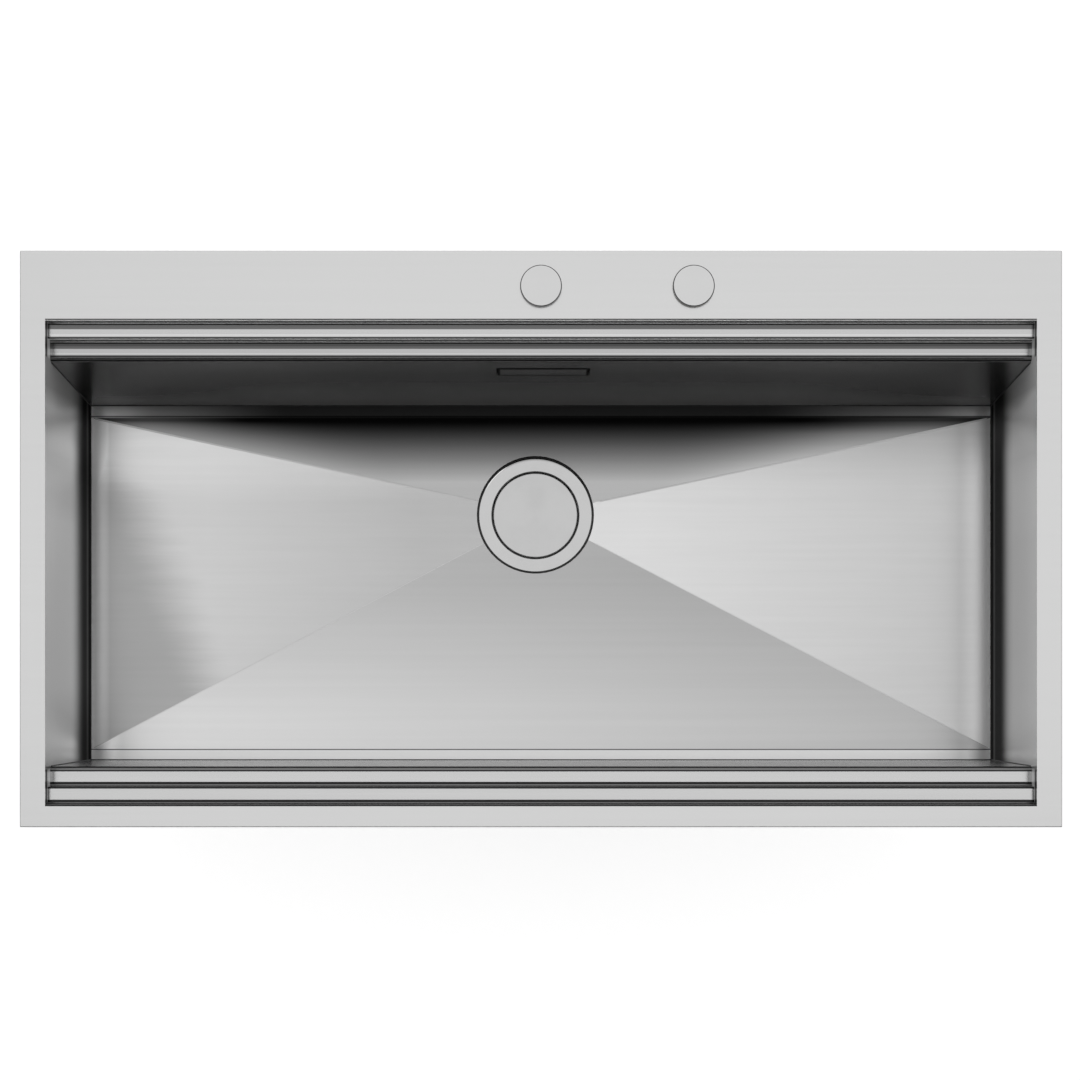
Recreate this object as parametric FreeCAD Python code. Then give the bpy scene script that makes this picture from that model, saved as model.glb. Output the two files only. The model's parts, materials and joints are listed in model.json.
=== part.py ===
import FreeCAD, Part
import math
import os

# Kitchen sink with a single large bowl, let into a worktop from above.
# Millimetres. The origin is the centre of the rim, on the plane of the worktop that the rim rests on.
# +X runs to the user's right, +Y to the back edge with the two round discs, +Z up.

V = FreeCAD.Vector

# Rim and opening
SHEET = 1.2
RIM_HALF_LENGTH = 470.0
RIM_HALF_WIDTH = 260.0
RIM_TOP = 4.0
SKIRT_BOTTOM = 0.4
EDGE_ROUND = 0.9
OPENING_HALF = 447.0
OPENING_FRONT = -241.0
OPENING_BACK = 198.5

# Stepped ledges along the front and back of the opening, measured inward and down from its edge
STEP_DROP = 10.0
TREAD_WIDTH = 10.5
STEP_NOSE = 2.0
STEP_ROOT = 2.75
WALL_NOSE = 4.7
LEDGE_WIDTH = 2 * (STEP_NOSE + STEP_ROOT + TREAD_WIDTH) + WALL_NOSE

# Bowl
BOWL_DEPTH = 200.0
BACK_WALL_LEAN = 17.0
FLOOR_TOP = RIM_TOP - BOWL_DEPTH
FLOOR_FRONT = -195.3
FLOOR_BACK = 134.0
FOLD_X = -2.0
FOLD_Y = 39.2
FOLD_DROP = 12.0

# Waste
WASTE_X = -5.5
WASTE_Y = 38.2
RECESS_RADIUS = 58.4
RECESS_TOP = RIM_TOP - 214.0
WASTE_HOLE = 46.0
FLANGE_RADIUS = 57.0
FLANGE_INNER = 43.0
FLANGE_TOP = RECESS_TOP + 2.6
SEAT_RADIUS = 39.5
THROAT_RADIUS = 45.2
THROAT_BOTTOM = -243.0
BODY_INNER = 42.0
BODY_OUTER = 45.0
COLLAR_RADIUS = 50.0
CONE_TOP = -298.0
OUTLET_RADIUS = 23.9
OUTLET_BORE = 20.5
OUTLET_TOP = -318.5
OUTLET_BOTTOM = -342.0

# Plug, basket and lift pin
PLUG_RADIUS = 42.1
PLUG_TOP = FLANGE_TOP - 1.2
BASKET_RADIUS = 36.8
BASKET_BOTTOM = -262.0
STEM_FOOT = BASKET_BOTTOM - 4.0
PIN_RADIUS = 4.5
PIN_BOTTOM = -292.5
RUNNING = 0.06

# Rocker lever under the lift pin
LEVER_HALF_SWING = 14.0
LEVER_ARM = 24.0
CONTROL_TRAVEL = 6.0
SHAFT_RADIUS = 3.0
SHAFT_Y = WASTE_Y + LEVER_ARM
SHAFT_Z = -290.0
BOSS_END = 47.0
CRANK_X = 55.0
CRANK_ARM = CONTROL_TRAVEL / (2 * math.sin(math.radians(LEVER_HALF_SWING)))
WIRE_Z = SHAFT_Z + CRANK_ARM * (1 + math.cos(math.radians(LEVER_HALF_SWING))) / 2

# Control button and tap-hole cap on the back deck
DISC_RADIUS = 18.75
DISC_TOP = 9.0
DISC_Y = 227.5
BUTTON_X = 137.5
CAP_X = 0.0
TAP_HOLE = 17.5
SLEEVE_RADIUS = 11.0
PISTON_RADIUS = 9.0
PISTON_BOTTOM = -20.0
SLEEVE_BOTTOM = -64.0
HOUSING_BOTTOM = -86.0

# Control cable: an outer sheath, and a wire whose two ends show
SHEATH_RADIUS = 2.5
WIRE_RADIUS = 0.75
SHEATH_BORE = 1.1
FERRULE_RADIUS = 3.6
BRACKET_Y = 92.0
CABLE_START = V(CRANK_X, 98.0, WIRE_Z)
CABLE_END = V(BUTTON_X, DISC_Y, -88.0)

# Overflow
OVERFLOW_X = 2.0
OVERFLOW_DEPTH = 60.5
OVERFLOW_WIDTH = 86.8
OVERFLOW_HEIGHT = 26.5
SPIGOT_Y = 196.0
SPIGOT_BOTTOM = -104.0
SPIGOT_RADIUS = 10.0
SPIGOT_BORE = 7.0
STUB_Y = 96.0
STUB_Z = -262.0
HOSE_BEND = 80.0
HOSE_ROOT = 8.6
RIB_PITCH = 3.2
CUFF_LENGTH = 16.0

# Worktop clips, placed from the rim's outer edge
CLIP_X = (-390.0, -230.0, -70.0, 230.0, 390.0)
CLIP_Y = (-120.0, 120.0)
WORKTOP = 30.0


def block(x0, x1, y0, y1, z0, z1):
    """A box between two corners."""
    return Part.makeBox(x1 - x0, y1 - y0, z1 - z0, V(x0, y0, z0))


def rod(radius, start, end):
    """A round bar between two points."""
    along = end.sub(start)
    return Part.makeCylinder(radius, along.Length, start, along)


def tube(outer, inner, start, end):
    """A round tube between two points."""
    return rod(outer, start, end).cut(rod(inner, start, end))


def turned(profile, x, y):
    """A solid of revolution about a vertical axis, from (radius, height) corners."""
    corners = [V(radius, 0, height) for radius, height in profile]
    face = Part.Face(Part.makePolygon(corners + corners[:1]))
    solid = face.revolve(V(0, 0, 0), V(0, 0, 1), 360)
    solid.translate(V(x, y, 0))
    return solid


def ring(outer, inner, z0, z1, x, y):
    """A flat round washer."""
    return tube(outer, inner, V(x, y, z0), V(x, y, z1))


def hexagon(across_flats, z0, z1, x, y):
    """A six-sided bar, corners along X."""
    reach = across_flats / math.sqrt(3)
    corners = []
    for corner in range(7):
        turn = math.radians(60 * corner)
        corners.append(V(x + reach * math.cos(turn), y + reach * math.sin(turn), z0))
    return Part.Face(Part.makePolygon(corners)).extrude(V(0, 0, z1 - z0))


def around(solid, count, x, y):
    """Copies of a solid at equal turns about a vertical axis."""
    copies = []
    for number in range(count):
        copy = solid.copy()
        copy.rotate(V(x, y, 0), V(0, 0, 1), 360.0 * number / count)
        copies.append(copy)
    return copies


def rounded_edges(points, radii):
    """Straight runs joined by tangent arcs, one radius for each inner corner."""
    edges = []
    start = points[0]
    for index, radius in enumerate(radii):
        corner = points[index + 1]
        back = points[index].sub(corner).normalize()
        ahead = points[index + 2].sub(corner).normalize()
        half = back.getAngle(ahead) / 2
        inset = radius / math.tan(half)
        arc_start = corner.add(V(back).multiply(inset))
        arc_end = corner.add(V(ahead).multiply(inset))
        middle = back.add(ahead).normalize().multiply(radius / math.sin(half) - radius)
        if arc_start.sub(start).Length > 0.001:
            edges.append(Part.LineSegment(start, arc_start).toShape())
        edges.append(Part.Arc(arc_start, corner.add(middle), arc_end).toShape())
        start = arc_end
    edges.append(Part.LineSegment(start, points[-1]).toShape())
    return edges


def bent_sheet(points, radii, side, x0, x1):
    """Sheet bent along X. The points are its visible face, and side says where its back lies."""
    normals = []
    for first, second in zip(points, points[1:]):
        along = second.sub(first).normalize()
        normals.append(V(1, 0, 0).cross(along).multiply(side))
    behind = [points[0].add(V(normals[0]).multiply(SHEET))]
    behind_radii = []
    for index, radius in enumerate(radii):
        before = normals[index]
        after = normals[index + 1]
        step = before.add(after).multiply(SHEET / (1 + before.dot(after)))
        behind.append(points[index + 1].add(step))
        heading = points[index + 2].sub(points[index + 1])
        curls_back = heading.dot(before) > 0
        behind_radii.append(radius - SHEET if curls_back else radius + SHEET)
    behind.append(points[-1].add(V(normals[-1]).multiply(SHEET)))
    outline = rounded_edges(points, radii)
    outline.append(Part.LineSegment(points[-1], behind[-1]).toShape())
    outline += rounded_edges(behind, behind_radii)
    outline.append(Part.LineSegment(behind[0], points[0]).toShape())
    face = Part.Face(Part.Wire(Part.__sortEdges__(outline)))
    face.translate(V(x0, 0, 0))
    return face.extrude(V(x1 - x0, 0, 0))


def ledge_points(edge, inward, wall_foot):
    """Corners of a stepped ledge and the wall under it, down past the floor."""
    rise = edge + inward * STEP_NOSE
    second = rise + inward * (STEP_ROOT + TREAD_WIDTH + STEP_NOSE)
    wall_top = edge + inward * LEDGE_WIDTH
    first_tread = RIM_TOP - STEP_DROP
    second_tread = first_tread - STEP_DROP
    slope = (wall_foot - wall_top) / (FLOOR_TOP - second_tread)
    beyond = FLOOR_TOP - 3
    foot = wall_foot + slope * (beyond - FLOOR_TOP)
    return [
        V(0, edge, RIM_TOP),
        V(0, rise, RIM_TOP),
        V(0, rise, first_tread),
        V(0, second, first_tread),
        V(0, second, second_tread),
        V(0, wall_top, second_tread),
        V(0, foot, beyond),
    ]


def ledge_radii():
    """Bends of the stepped ledge, from the rim down."""
    return [STEP_NOSE, STEP_ROOT, STEP_NOSE, STEP_ROOT, WALL_NOSE]


def back_wall_foot():
    """Where the leaning back wall meets the floor."""
    return OPENING_BACK - LEDGE_WIDTH - BACK_WALL_LEAN


def ledge_panel(edge, inward, wall_foot, side):
    """One stepped ledge with its wall, cut off square on the floor."""
    sheet = bent_sheet(ledge_points(edge, inward, wall_foot), ledge_radii(), side, -OPENING_HALF, OPENING_HALF)
    waste = block(-OPENING_HALF - 1, OPENING_HALF + 1, -RIM_HALF_WIDTH, RIM_HALF_WIDTH, FLOOR_TOP - 20, FLOOR_TOP)
    return sheet.cut(waste)


def in_strips(sheet, edge, inward):
    """The stepped sheet as five solids that meet at its bends: riser, tread, riser, tread and wall."""
    rise = edge + inward * STEP_NOSE
    second = rise + inward * (STEP_ROOT + TREAD_WIDTH + STEP_NOSE)
    cuts = [edge - inward * 10]
    for corner in (rise, second):
        cuts.append(corner + inward * STEP_ROOT)
        cuts.append(corner + inward * (STEP_ROOT + TREAD_WIDTH))
    cuts.append(edge + inward * (LEDGE_WIDTH + 2 * BACK_WALL_LEAN))
    strips = []
    for start, end in zip(cuts, cuts[1:]):
        low = min(start, end)
        high = max(start, end)
        window = block(-OPENING_HALF - 1, OPENING_HALF + 1, low, high, FLOOR_TOP - 20, RIM_TOP + 1)
        strips += sheet.common(window).Solids
    return Part.makeCompound(strips)


def on_back_wall(solid, x, depth):
    """Moves a solid from the wall's own axes, +Z up the wall and +Y out of its back, to its place."""
    top = OPENING_BACK - LEDGE_WIDTH
    drop = BOWL_DEPTH - 2 * STEP_DROP
    lean = math.degrees(math.atan(BACK_WALL_LEAN / drop))
    inward = (depth - 2 * STEP_DROP) * BACK_WALL_LEAN / drop
    placed = solid.copy()
    placed.rotate(V(0, 0, 0), V(1, 0, 0), -lean)
    placed.translate(V(x, top - inward, RIM_TOP - depth))
    return placed


def deck_rim():
    plate = block(-RIM_HALF_LENGTH, RIM_HALF_LENGTH, -RIM_HALF_WIDTH, RIM_HALF_WIDTH, SKIRT_BOTTOM, RIM_TOP)
    outer = [edge for edge in plate.Edges if edge.BoundBox.ZMax > SKIRT_BOTTOM + 1]
    plate = plate.makeFillet(EDGE_ROUND, outer)
    inside_x = RIM_HALF_LENGTH - SHEET
    inside_y = RIM_HALF_WIDTH - SHEET
    plate = plate.cut(block(-inside_x, inside_x, -inside_y, inside_y, SKIRT_BOTTOM - 1, RIM_TOP - SHEET))
    plate = plate.cut(block(-OPENING_HALF, OPENING_HALF, OPENING_FRONT, OPENING_BACK, 0, RIM_TOP + 1))
    tap_hole = rod(TAP_HOLE, V(CAP_X, DISC_Y, 0), V(CAP_X, DISC_Y, RIM_TOP + 1))
    button_hole = rod(SLEEVE_RADIUS + 0.3, V(BUTTON_X, DISC_Y, 0), V(BUTTON_X, DISC_Y, RIM_TOP + 1))
    return plate.cut(tap_hole).cut(button_hole)


def back_panel():
    panel = ledge_panel(OPENING_BACK, -1, back_wall_foot(), 1)
    half = OVERFLOW_WIDTH / 2
    tall = OVERFLOW_HEIGHT / 2
    slot = block(-half, half, -5, 5, -tall, tall)
    panel = panel.cut(on_back_wall(slot, OVERFLOW_X, OVERFLOW_DEPTH))
    return in_strips(panel, OPENING_BACK, -1)


def front_panel():
    panel = ledge_panel(OPENING_FRONT, 1, OPENING_FRONT + LEDGE_WIDTH, -1)
    return in_strips(panel, OPENING_FRONT, 1)


def side_panel(inner, outer):
    """One flat end of the bowl, wide enough at the top to close the stepped ledges."""
    shoulder = RIM_TOP - STEP_DROP - SHEET
    waist = shoulder - STEP_DROP - WALL_NOSE
    under_rim = RIM_TOP - SHEET
    bottom = FLOOR_TOP - SHEET
    back_edge = OPENING_BACK + SHEET
    front_edge = OPENING_FRONT - SHEET
    back_top = OPENING_BACK - LEDGE_WIDTH + 2 * SHEET
    front_wall = OPENING_FRONT + LEDGE_WIDTH - SHEET
    outline = [
        V(inner, front_edge, under_rim),
        V(inner, back_edge, under_rim),
        V(inner, back_edge, shoulder),
        V(inner, back_top, waist),
        V(inner, back_wall_foot() + 2 * SHEET, bottom),
        V(inner, front_wall, bottom),
        V(inner, front_wall, waist),
        V(inner, front_edge, shoulder),
    ]
    face = Part.Face(Part.makePolygon(outline + outline[:1]))
    return face.extrude(V(outer - inner, 0, 0))


def facets(lift, thickness):
    """The four flat facets of the floor, folded along lines from the corners to a low point."""
    corners = [
        V(-OPENING_HALF, FLOOR_FRONT, FLOOR_TOP + lift),
        V(OPENING_HALF, FLOOR_FRONT, FLOOR_TOP + lift),
        V(OPENING_HALF, FLOOR_BACK, FLOOR_TOP + lift),
        V(-OPENING_HALF, FLOOR_BACK, FLOOR_TOP + lift),
    ]
    low = V(FOLD_X, FOLD_Y, FLOOR_TOP - FOLD_DROP + lift)
    solids = []
    for index, corner in enumerate(corners):
        following = corners[(index + 1) % 4]
        triangle = Part.Face(Part.makePolygon([corner, following, low, corner]))
        solids.append(triangle.extrude(V(0, 0, -thickness)))
    return solids


def joined(solids):
    """Solids that touch, made into one."""
    return solids[0].multiFuse(solids[1:]).removeSplitter()


def floor_panel():
    front_edge = OPENING_FRONT + LEDGE_WIDTH - SHEET
    back_edge = back_wall_foot() + 1.25 * SHEET
    under = FLOOR_TOP - SHEET
    strips = [
        block(-OPENING_HALF, OPENING_HALF, front_edge, FLOOR_FRONT, under, FLOOR_TOP),
        block(-OPENING_HALF, OPENING_HALF, FLOOR_BACK, back_edge, under, FLOOR_TOP),
    ]
    sheet = joined(facets(0, SHEET) + strips)
    outside = RECESS_RADIUS + SHEET
    sheet = sheet.cut(rod(outside, V(WASTE_X, WASTE_Y, -260), V(WASTE_X, WASTE_Y, -150)))
    below_facets = joined(facets(0, 30.0))
    upright = ring(outside, RECESS_RADIUS, RECESS_TOP - SHEET, -180, WASTE_X, WASTE_Y).common(below_facets)
    base = ring(outside, WASTE_HOLE, RECESS_TOP - SHEET, RECESS_TOP, WASTE_X, WASTE_Y)
    return joined([sheet, upright, base])


def rim_gasket():
    frame = block(-468.4, 468.4, -258.4, 258.4, 0, RIM_TOP - SHEET)
    return frame.cut(block(-462, 462, -252, 252, -1, RIM_TOP))


def at_each_clip(solid):
    """Copies of a solid made at the front edge, middle of the rim, facing out along -Y."""
    copies = []
    for x in CLIP_X:
        front = solid.copy()
        front.translate(V(x, -RIM_HALF_WIDTH, 0))
        back = solid.copy()
        back.rotate(V(0, 0, 0), V(0, 0, 1), 180)
        back.translate(V(x, RIM_HALF_WIDTH, 0))
        copies += [front, back]
    for y in CLIP_Y:
        right = solid.copy()
        right.rotate(V(0, 0, 0), V(0, 0, 1), 90)
        right.translate(V(RIM_HALF_LENGTH, y, 0))
        left = solid.copy()
        left.rotate(V(0, 0, 0), V(0, 0, 1), -90)
        left.translate(V(-RIM_HALF_LENGTH, y, 0))
        copies += [right, left]
    return Part.makeCompound(copies)


def clip_brackets():
    under_rim = RIM_TOP - SHEET
    hanging = block(-25, 25, 16.4, 17.6, -12, under_rim)
    lip = block(-25, 25, 12.8, 16.4, -12, -10.8)
    foot = block(-25, 25, 17.6, 18.4, under_rim - 1, under_rim)
    return at_each_clip(joined([hanging, lip, foot]))


def worktop_clips():
    hook = block(-10, 10, 12.4, 16.1, -10.7, -9.1)
    web = block(-10, 10, 10.8, 12.4, -WORKTOP - 14.4, -9.1)
    toe = block(-10, 10, 1.0, 10.8, -WORKTOP - 14.4, -WORKTOP - 12.4)
    hole = rod(2.1, V(0, 5.6, -WORKTOP - 20), V(0, 5.6, -WORKTOP))
    return at_each_clip(joined([hook, web, toe]).cut(hole))


def clip_screws():
    shank = rod(2.0, V(0, 5.6, -WORKTOP - 17), V(0, 5.6, -WORKTOP - 1.5))
    pad = rod(3.4, V(0, 5.6, -WORKTOP - 1.5), V(0, 5.6, -WORKTOP))
    head = hexagon(7.0, -WORKTOP - 20, -WORKTOP - 17, 0, 5.6)
    return at_each_clip(joined([shank, pad, head]))


def deadening_pads():
    """Rubber sheets bonded under the floor facets and on the two ends of the bowl."""
    layer = facets(-SHEET, 3.0)
    front = layer[0].common(block(-180, 180, -180, -65, -230, -180))
    right = layer[1].common(block(250, 410, -90, 90, -230, -180))
    left = layer[3].common(block(-410, -250, -90, 90, -230, -180))
    right_end = block(OPENING_HALF + SHEET, OPENING_HALF + SHEET + 3, -150, 110, -150, -60)
    left_end = block(-OPENING_HALF - SHEET - 3, -OPENING_HALF - SHEET, -150, 110, -150, -60)
    return Part.makeCompound([front, right, left, right_end, left_end])


def waste_flange():
    under = RECESS_TOP + 0.8
    return turned([
        (THROAT_RADIUS, under),
        (FLANGE_RADIUS, under),
        (FLANGE_RADIUS, FLANGE_TOP - 1.0),
        (FLANGE_RADIUS - 1.0, FLANGE_TOP),
        (FLANGE_INNER + 1.0, FLANGE_TOP),
        (FLANGE_INNER, FLANGE_TOP - 1.0),
        (FLANGE_INNER, -214.5),
        (SEAT_RADIUS, -218.5),
        (SEAT_RADIUS, -221.0),
        (FLANGE_INNER, -221.0),
        (FLANGE_INNER, THROAT_BOTTOM),
        (THROAT_RADIUS, THROAT_BOTTOM),
    ], WASTE_X, WASTE_Y)


def flange_seal():
    return ring(FLANGE_RADIUS - 1, WASTE_HOLE + 0.5, RECESS_TOP, RECESS_TOP + 0.8, WASTE_X, WASTE_Y)


def lower_gasket():
    return ring(FLANGE_RADIUS, THROAT_RADIUS + 0.2, RECESS_TOP - SHEET - 3, RECESS_TOP - SHEET, WASTE_X, WASTE_Y)


def ring_nut():
    top = RECESS_TOP - SHEET - 3
    bottom = top - 8
    hub = rod(54, V(WASTE_X, WASTE_Y, bottom), V(WASTE_X, WASTE_Y, top))
    lug = block(WASTE_X + 50, WASTE_X + 60, WASTE_Y - 6, WASTE_Y + 6, bottom, top - 1)
    nut = joined([hub] + around(lug, 8, WASTE_X, WASTE_Y))
    return nut.cut(rod(THROAT_RADIUS + 0.1, V(WASTE_X, WASTE_Y, bottom - 1), V(WASTE_X, WASTE_Y, top + 1)))


def waste_body():
    shell = turned([
        (THROAT_RADIUS + 0.1, -224),
        (COLLAR_RADIUS, -224),
        (COLLAR_RADIUS, -247),
        (BODY_OUTER, -250),
        (BODY_OUTER, CONE_TOP - 2),
        (OUTLET_RADIUS, OUTLET_TOP),
        (OUTLET_RADIUS, OUTLET_BOTTOM),
        (OUTLET_BORE, OUTLET_BOTTOM),
        (OUTLET_BORE, OUTLET_TOP + 2),
        (BODY_INNER, CONE_TOP),
        (BODY_INNER, -246),
        (THROAT_RADIUS + 0.1, -246),
    ], WASTE_X, WASTE_Y)
    grip = block(WASTE_X + COLLAR_RADIUS - 2, WASTE_X + COLLAR_RADIUS + 3, WASTE_Y - 2, WASTE_Y + 2, -246, -226)
    boss = rod(9.0, V(15, SHAFT_Y, SHAFT_Z), V(BOSS_END, SHAFT_Y, SHAFT_Z))
    stub = rod(SPIGOT_RADIUS, V(WASTE_X, WASTE_Y + 30, STUB_Z), V(WASTE_X, STUB_Y, STUB_Z))
    cavity = rod(BODY_INNER, V(WASTE_X, WASTE_Y, CONE_TOP), V(WASTE_X, WASTE_Y, -250))
    body = joined([shell, boss.cut(cavity), stub.cut(cavity)] + around(grip, 16, WASTE_X, WASTE_Y))
    shaft_bore = rod(SHAFT_RADIUS + RUNNING, V(15, SHAFT_Y, SHAFT_Z), V(BOSS_END + 1, SHAFT_Y, SHAFT_Z))
    seal_pocket = rod(6.0, V(BOSS_END - 5, SHAFT_Y, SHAFT_Z), V(BOSS_END + 1, SHAFT_Y, SHAFT_Z))
    inlet = rod(SPIGOT_BORE, V(WASTE_X, WASTE_Y + 30, STUB_Z), V(WASTE_X, STUB_Y + 1, STUB_Z))
    throat = rod(THROAT_RADIUS + 0.1, V(WASTE_X, WASTE_Y, -246), V(WASTE_X, WASTE_Y, -223))
    return body.cut(shaft_bore).cut(seal_pocket).cut(inlet).cut(throat)


def body_seal():
    return ring(THROAT_RADIUS - 0.1, BODY_INNER + 0.2, -246, THROAT_BOTTOM, WASTE_X, WASTE_Y)


def pin_guide():
    centre = V(WASTE_X, WASTE_Y, 0)
    hub = rod(8, centre.add(V(0, 0, -277)), centre.add(V(0, 0, -268)))
    hoop = ring(BODY_INNER - 0.1, BODY_INNER - 2.5, -277, -271, WASTE_X, WASTE_Y)
    spoke = block(WASTE_X + 6, WASTE_X + BODY_INNER - 1.5, WASTE_Y - 1.5, WASTE_Y + 1.5, -276, -272)
    guide = joined([hub, hoop] + around(spoke, 3, WASTE_X, WASTE_Y))
    return guide.cut(rod(PIN_RADIUS + RUNNING, centre.add(V(0, 0, -280)), centre.add(V(0, 0, -260))))


def plug_cover():
    return turned([
        (0, PLUG_TOP),
        (PLUG_RADIUS - 0.8, PLUG_TOP),
        (PLUG_RADIUS, PLUG_TOP - 0.8),
        (PLUG_RADIUS, PLUG_TOP - 2.4),
        (PLUG_RADIUS - 1.2, PLUG_TOP - 2.4),
        (PLUG_RADIUS - 1.2, PLUG_TOP - 1.5),
        (0, PLUG_TOP - 1.5),
    ], WASTE_X, WASTE_Y)


def plug_stem():
    bottom = BASKET_BOTTOM
    return turned([
        (0, PLUG_TOP - 1.5),
        (7, PLUG_TOP - 1.5),
        (7, PLUG_TOP - 3.5),
        (3.2, PLUG_TOP - 3.5),
        (3.2, bottom),
        (6, bottom),
        (6, STEM_FOOT),
        (0, STEM_FOOT),
    ], WASTE_X, WASTE_Y)


def strainer_basket():
    top = -212.4
    inner = BASKET_RADIUS - SHEET
    centre = V(WASTE_X, WASTE_Y, 0)
    cup = turned([
        (3.4, BASKET_BOTTOM),
        (BASKET_RADIUS, BASKET_BOTTOM),
        (BASKET_RADIUS, top - 1),
        (38.6, top - 1),
        (38.6, top),
        (inner, top),
        (inner, BASKET_BOTTOM + SHEET),
        (3.4, BASKET_BOTTOM + SHEET),
    ], WASTE_X, WASTE_Y)
    slot = block(WASTE_X + inner - 2, WASTE_X + BASKET_RADIUS + 2, WASTE_Y - 1.5, WASTE_Y + 1.5, -256, -224)
    slots = around(slot, 24, WASTE_X, WASTE_Y)
    holes = []
    for radius, count in ((12.0, 8), (20.0, 14), (28.0, 20)):
        start = centre.add(V(radius, 0, BASKET_BOTTOM - 1))
        holes += around(rod(2.0, start, start.add(V(0, 0, 4))), count, WASTE_X, WASTE_Y)
    cup = cup.cut(Part.makeCompound(slots + holes))
    base = cup.common(rod(60, centre.add(V(0, 0, BASKET_BOTTOM - 1)), centre.add(V(0, 0, BASKET_BOTTOM + SHEET))))
    return Part.makeCompound(base.Solids + basket_staves(cup, top + 1))


def basket_staves(cup, top):
    """The wall of the basket as twelve solids that meet between its slots."""
    staves = []
    for number in range(12):
        corners = [V(0, 0, 0)]
        for side in (-1, 1):
            turn = math.radians(30 * number + 22.5 + 15 * side)
            corners.append(V(60 * math.cos(turn), 60 * math.sin(turn), 0))
        wedge = Part.Face(Part.makePolygon(corners + corners[:1]))
        wedge.translate(V(WASTE_X, WASTE_Y, BASKET_BOTTOM + SHEET))
        staves += cup.common(wedge.extrude(V(0, 0, top - BASKET_BOTTOM - SHEET))).Solids
    return staves


def plug_seal():
    return turned([
        (BASKET_RADIUS, -213.6),
        (42.4, -213.6),
        (42.4, -214.4),
        (39.1, -218.2),
        (BASKET_RADIUS, -218.2),
    ], WASTE_X, WASTE_Y)


def lift_pin():
    return turned([
        (0, STEM_FOOT - 0.1),
        (PIN_RADIUS, STEM_FOOT - 0.1),
        (PIN_RADIUS, PIN_BOTTOM + 2),
        (7, PIN_BOTTOM + 2),
        (7, PIN_BOTTOM),
        (0, PIN_BOTTOM),
    ], WASTE_X, WASTE_Y)


def lever_shaft():
    """Shaft across the waste body, with the arm that lifts the pin, at rest in its low position."""
    axis = V(0, SHAFT_Y, SHAFT_Z)
    shaft = rod(SHAFT_RADIUS, V(WASTE_X - 5, SHAFT_Y, SHAFT_Z), V(CRANK_X + 6, SHAFT_Y, SHAFT_Z))
    hub = rod(5.5, V(WASTE_X - 4, SHAFT_Y, SHAFT_Z), V(WASTE_X + 4, SHAFT_Y, SHAFT_Z))
    arm = block(WASTE_X - 2.5, WASTE_X + 2.5, SHAFT_Y - LEVER_ARM, SHAFT_Y, SHAFT_Z - 3.5, SHAFT_Z + 0.5)
    tip = rod(3.0, V(WASTE_X - 2.5, WASTE_Y, SHAFT_Z), V(WASTE_X + 2.5, WASTE_Y, SHAFT_Z))
    arm.rotate(axis, V(1, 0, 0), LEVER_HALF_SWING)
    tip.rotate(axis, V(1, 0, 0), LEVER_HALF_SWING)
    return joined([shaft, hub, arm, tip])


def outer_crank():
    """Forked arm outside the waste body that the wire's end bar lies in."""
    axis = V(0, SHAFT_Y, SHAFT_Z)
    hub = rod(6.5, V(CRANK_X - 3.5, SHAFT_Y, SHAFT_Z), V(CRANK_X + 3.5, SHAFT_Y, SHAFT_Z))
    cheeks = []
    for x in (CRANK_X - 3.5, CRANK_X + 1.5):
        cheeks.append(block(x, x + 2, SHAFT_Y - 5, SHAFT_Y + 5, SHAFT_Z, SHAFT_Z + CRANK_ARM + 4))
    slot = block(CRANK_X - 5, CRANK_X + 5, SHAFT_Y - 2.7, SHAFT_Y + 2.7, SHAFT_Z + CRANK_ARM - 3.3, SHAFT_Z + 30)
    bore = rod(SHAFT_RADIUS, V(CRANK_X - 5, SHAFT_Y, SHAFT_Z), V(CRANK_X + 5, SHAFT_Y, SHAFT_Z))
    crank = joined([hub] + cheeks).cut(slot).cut(bore)
    crank.rotate(axis, V(1, 0, 0), LEVER_HALF_SWING)
    return crank


def shaft_seal():
    return tube(5.9, SHAFT_RADIUS + RUNNING, V(BOSS_END - 5, SHAFT_Y, SHAFT_Z), V(BOSS_END - 1, SHAFT_Y, SHAFT_Z))


def shaft_gland():
    """Screwed cap that keeps the seal in its pocket."""
    plug = rod(6.0, V(BOSS_END - 1, SHAFT_Y, SHAFT_Z), V(BOSS_END, SHAFT_Y, SHAFT_Z))
    cap = rod(8.0, V(BOSS_END, SHAFT_Y, SHAFT_Z), V(BOSS_END + 3, SHAFT_Y, SHAFT_Z))
    bore = rod(SHAFT_RADIUS + RUNNING, V(BOSS_END - 2, SHAFT_Y, SHAFT_Z), V(BOSS_END + 4, SHAFT_Y, SHAFT_Z))
    return joined([plug, cap]).cut(bore)


def cable_bracket():
    """Bent plate round the shaft boss that holds the end of the cable's sheath."""
    side = block(BOSS_END - 3.5, BOSS_END - 1, SHAFT_Y - 13, BRACKET_Y + 2.5, SHAFT_Z - 12, SHAFT_Z + 20)
    across = block(BOSS_END - 3.5, CRANK_X + 8, BRACKET_Y, BRACKET_Y + 2.5, SHAFT_Z + 4, SHAFT_Z + 20)
    boss_hole = rod(9.0, V(BOSS_END - 10, SHAFT_Y, SHAFT_Z), V(BOSS_END + 10, SHAFT_Y, SHAFT_Z))
    cable_hole = rod(FERRULE_RADIUS, V(CRANK_X, BRACKET_Y - 5, WIRE_Z), V(CRANK_X, BRACKET_Y + 8, WIRE_Z))
    return joined([side, across]).cut(boss_hole).cut(cable_hole)


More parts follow.
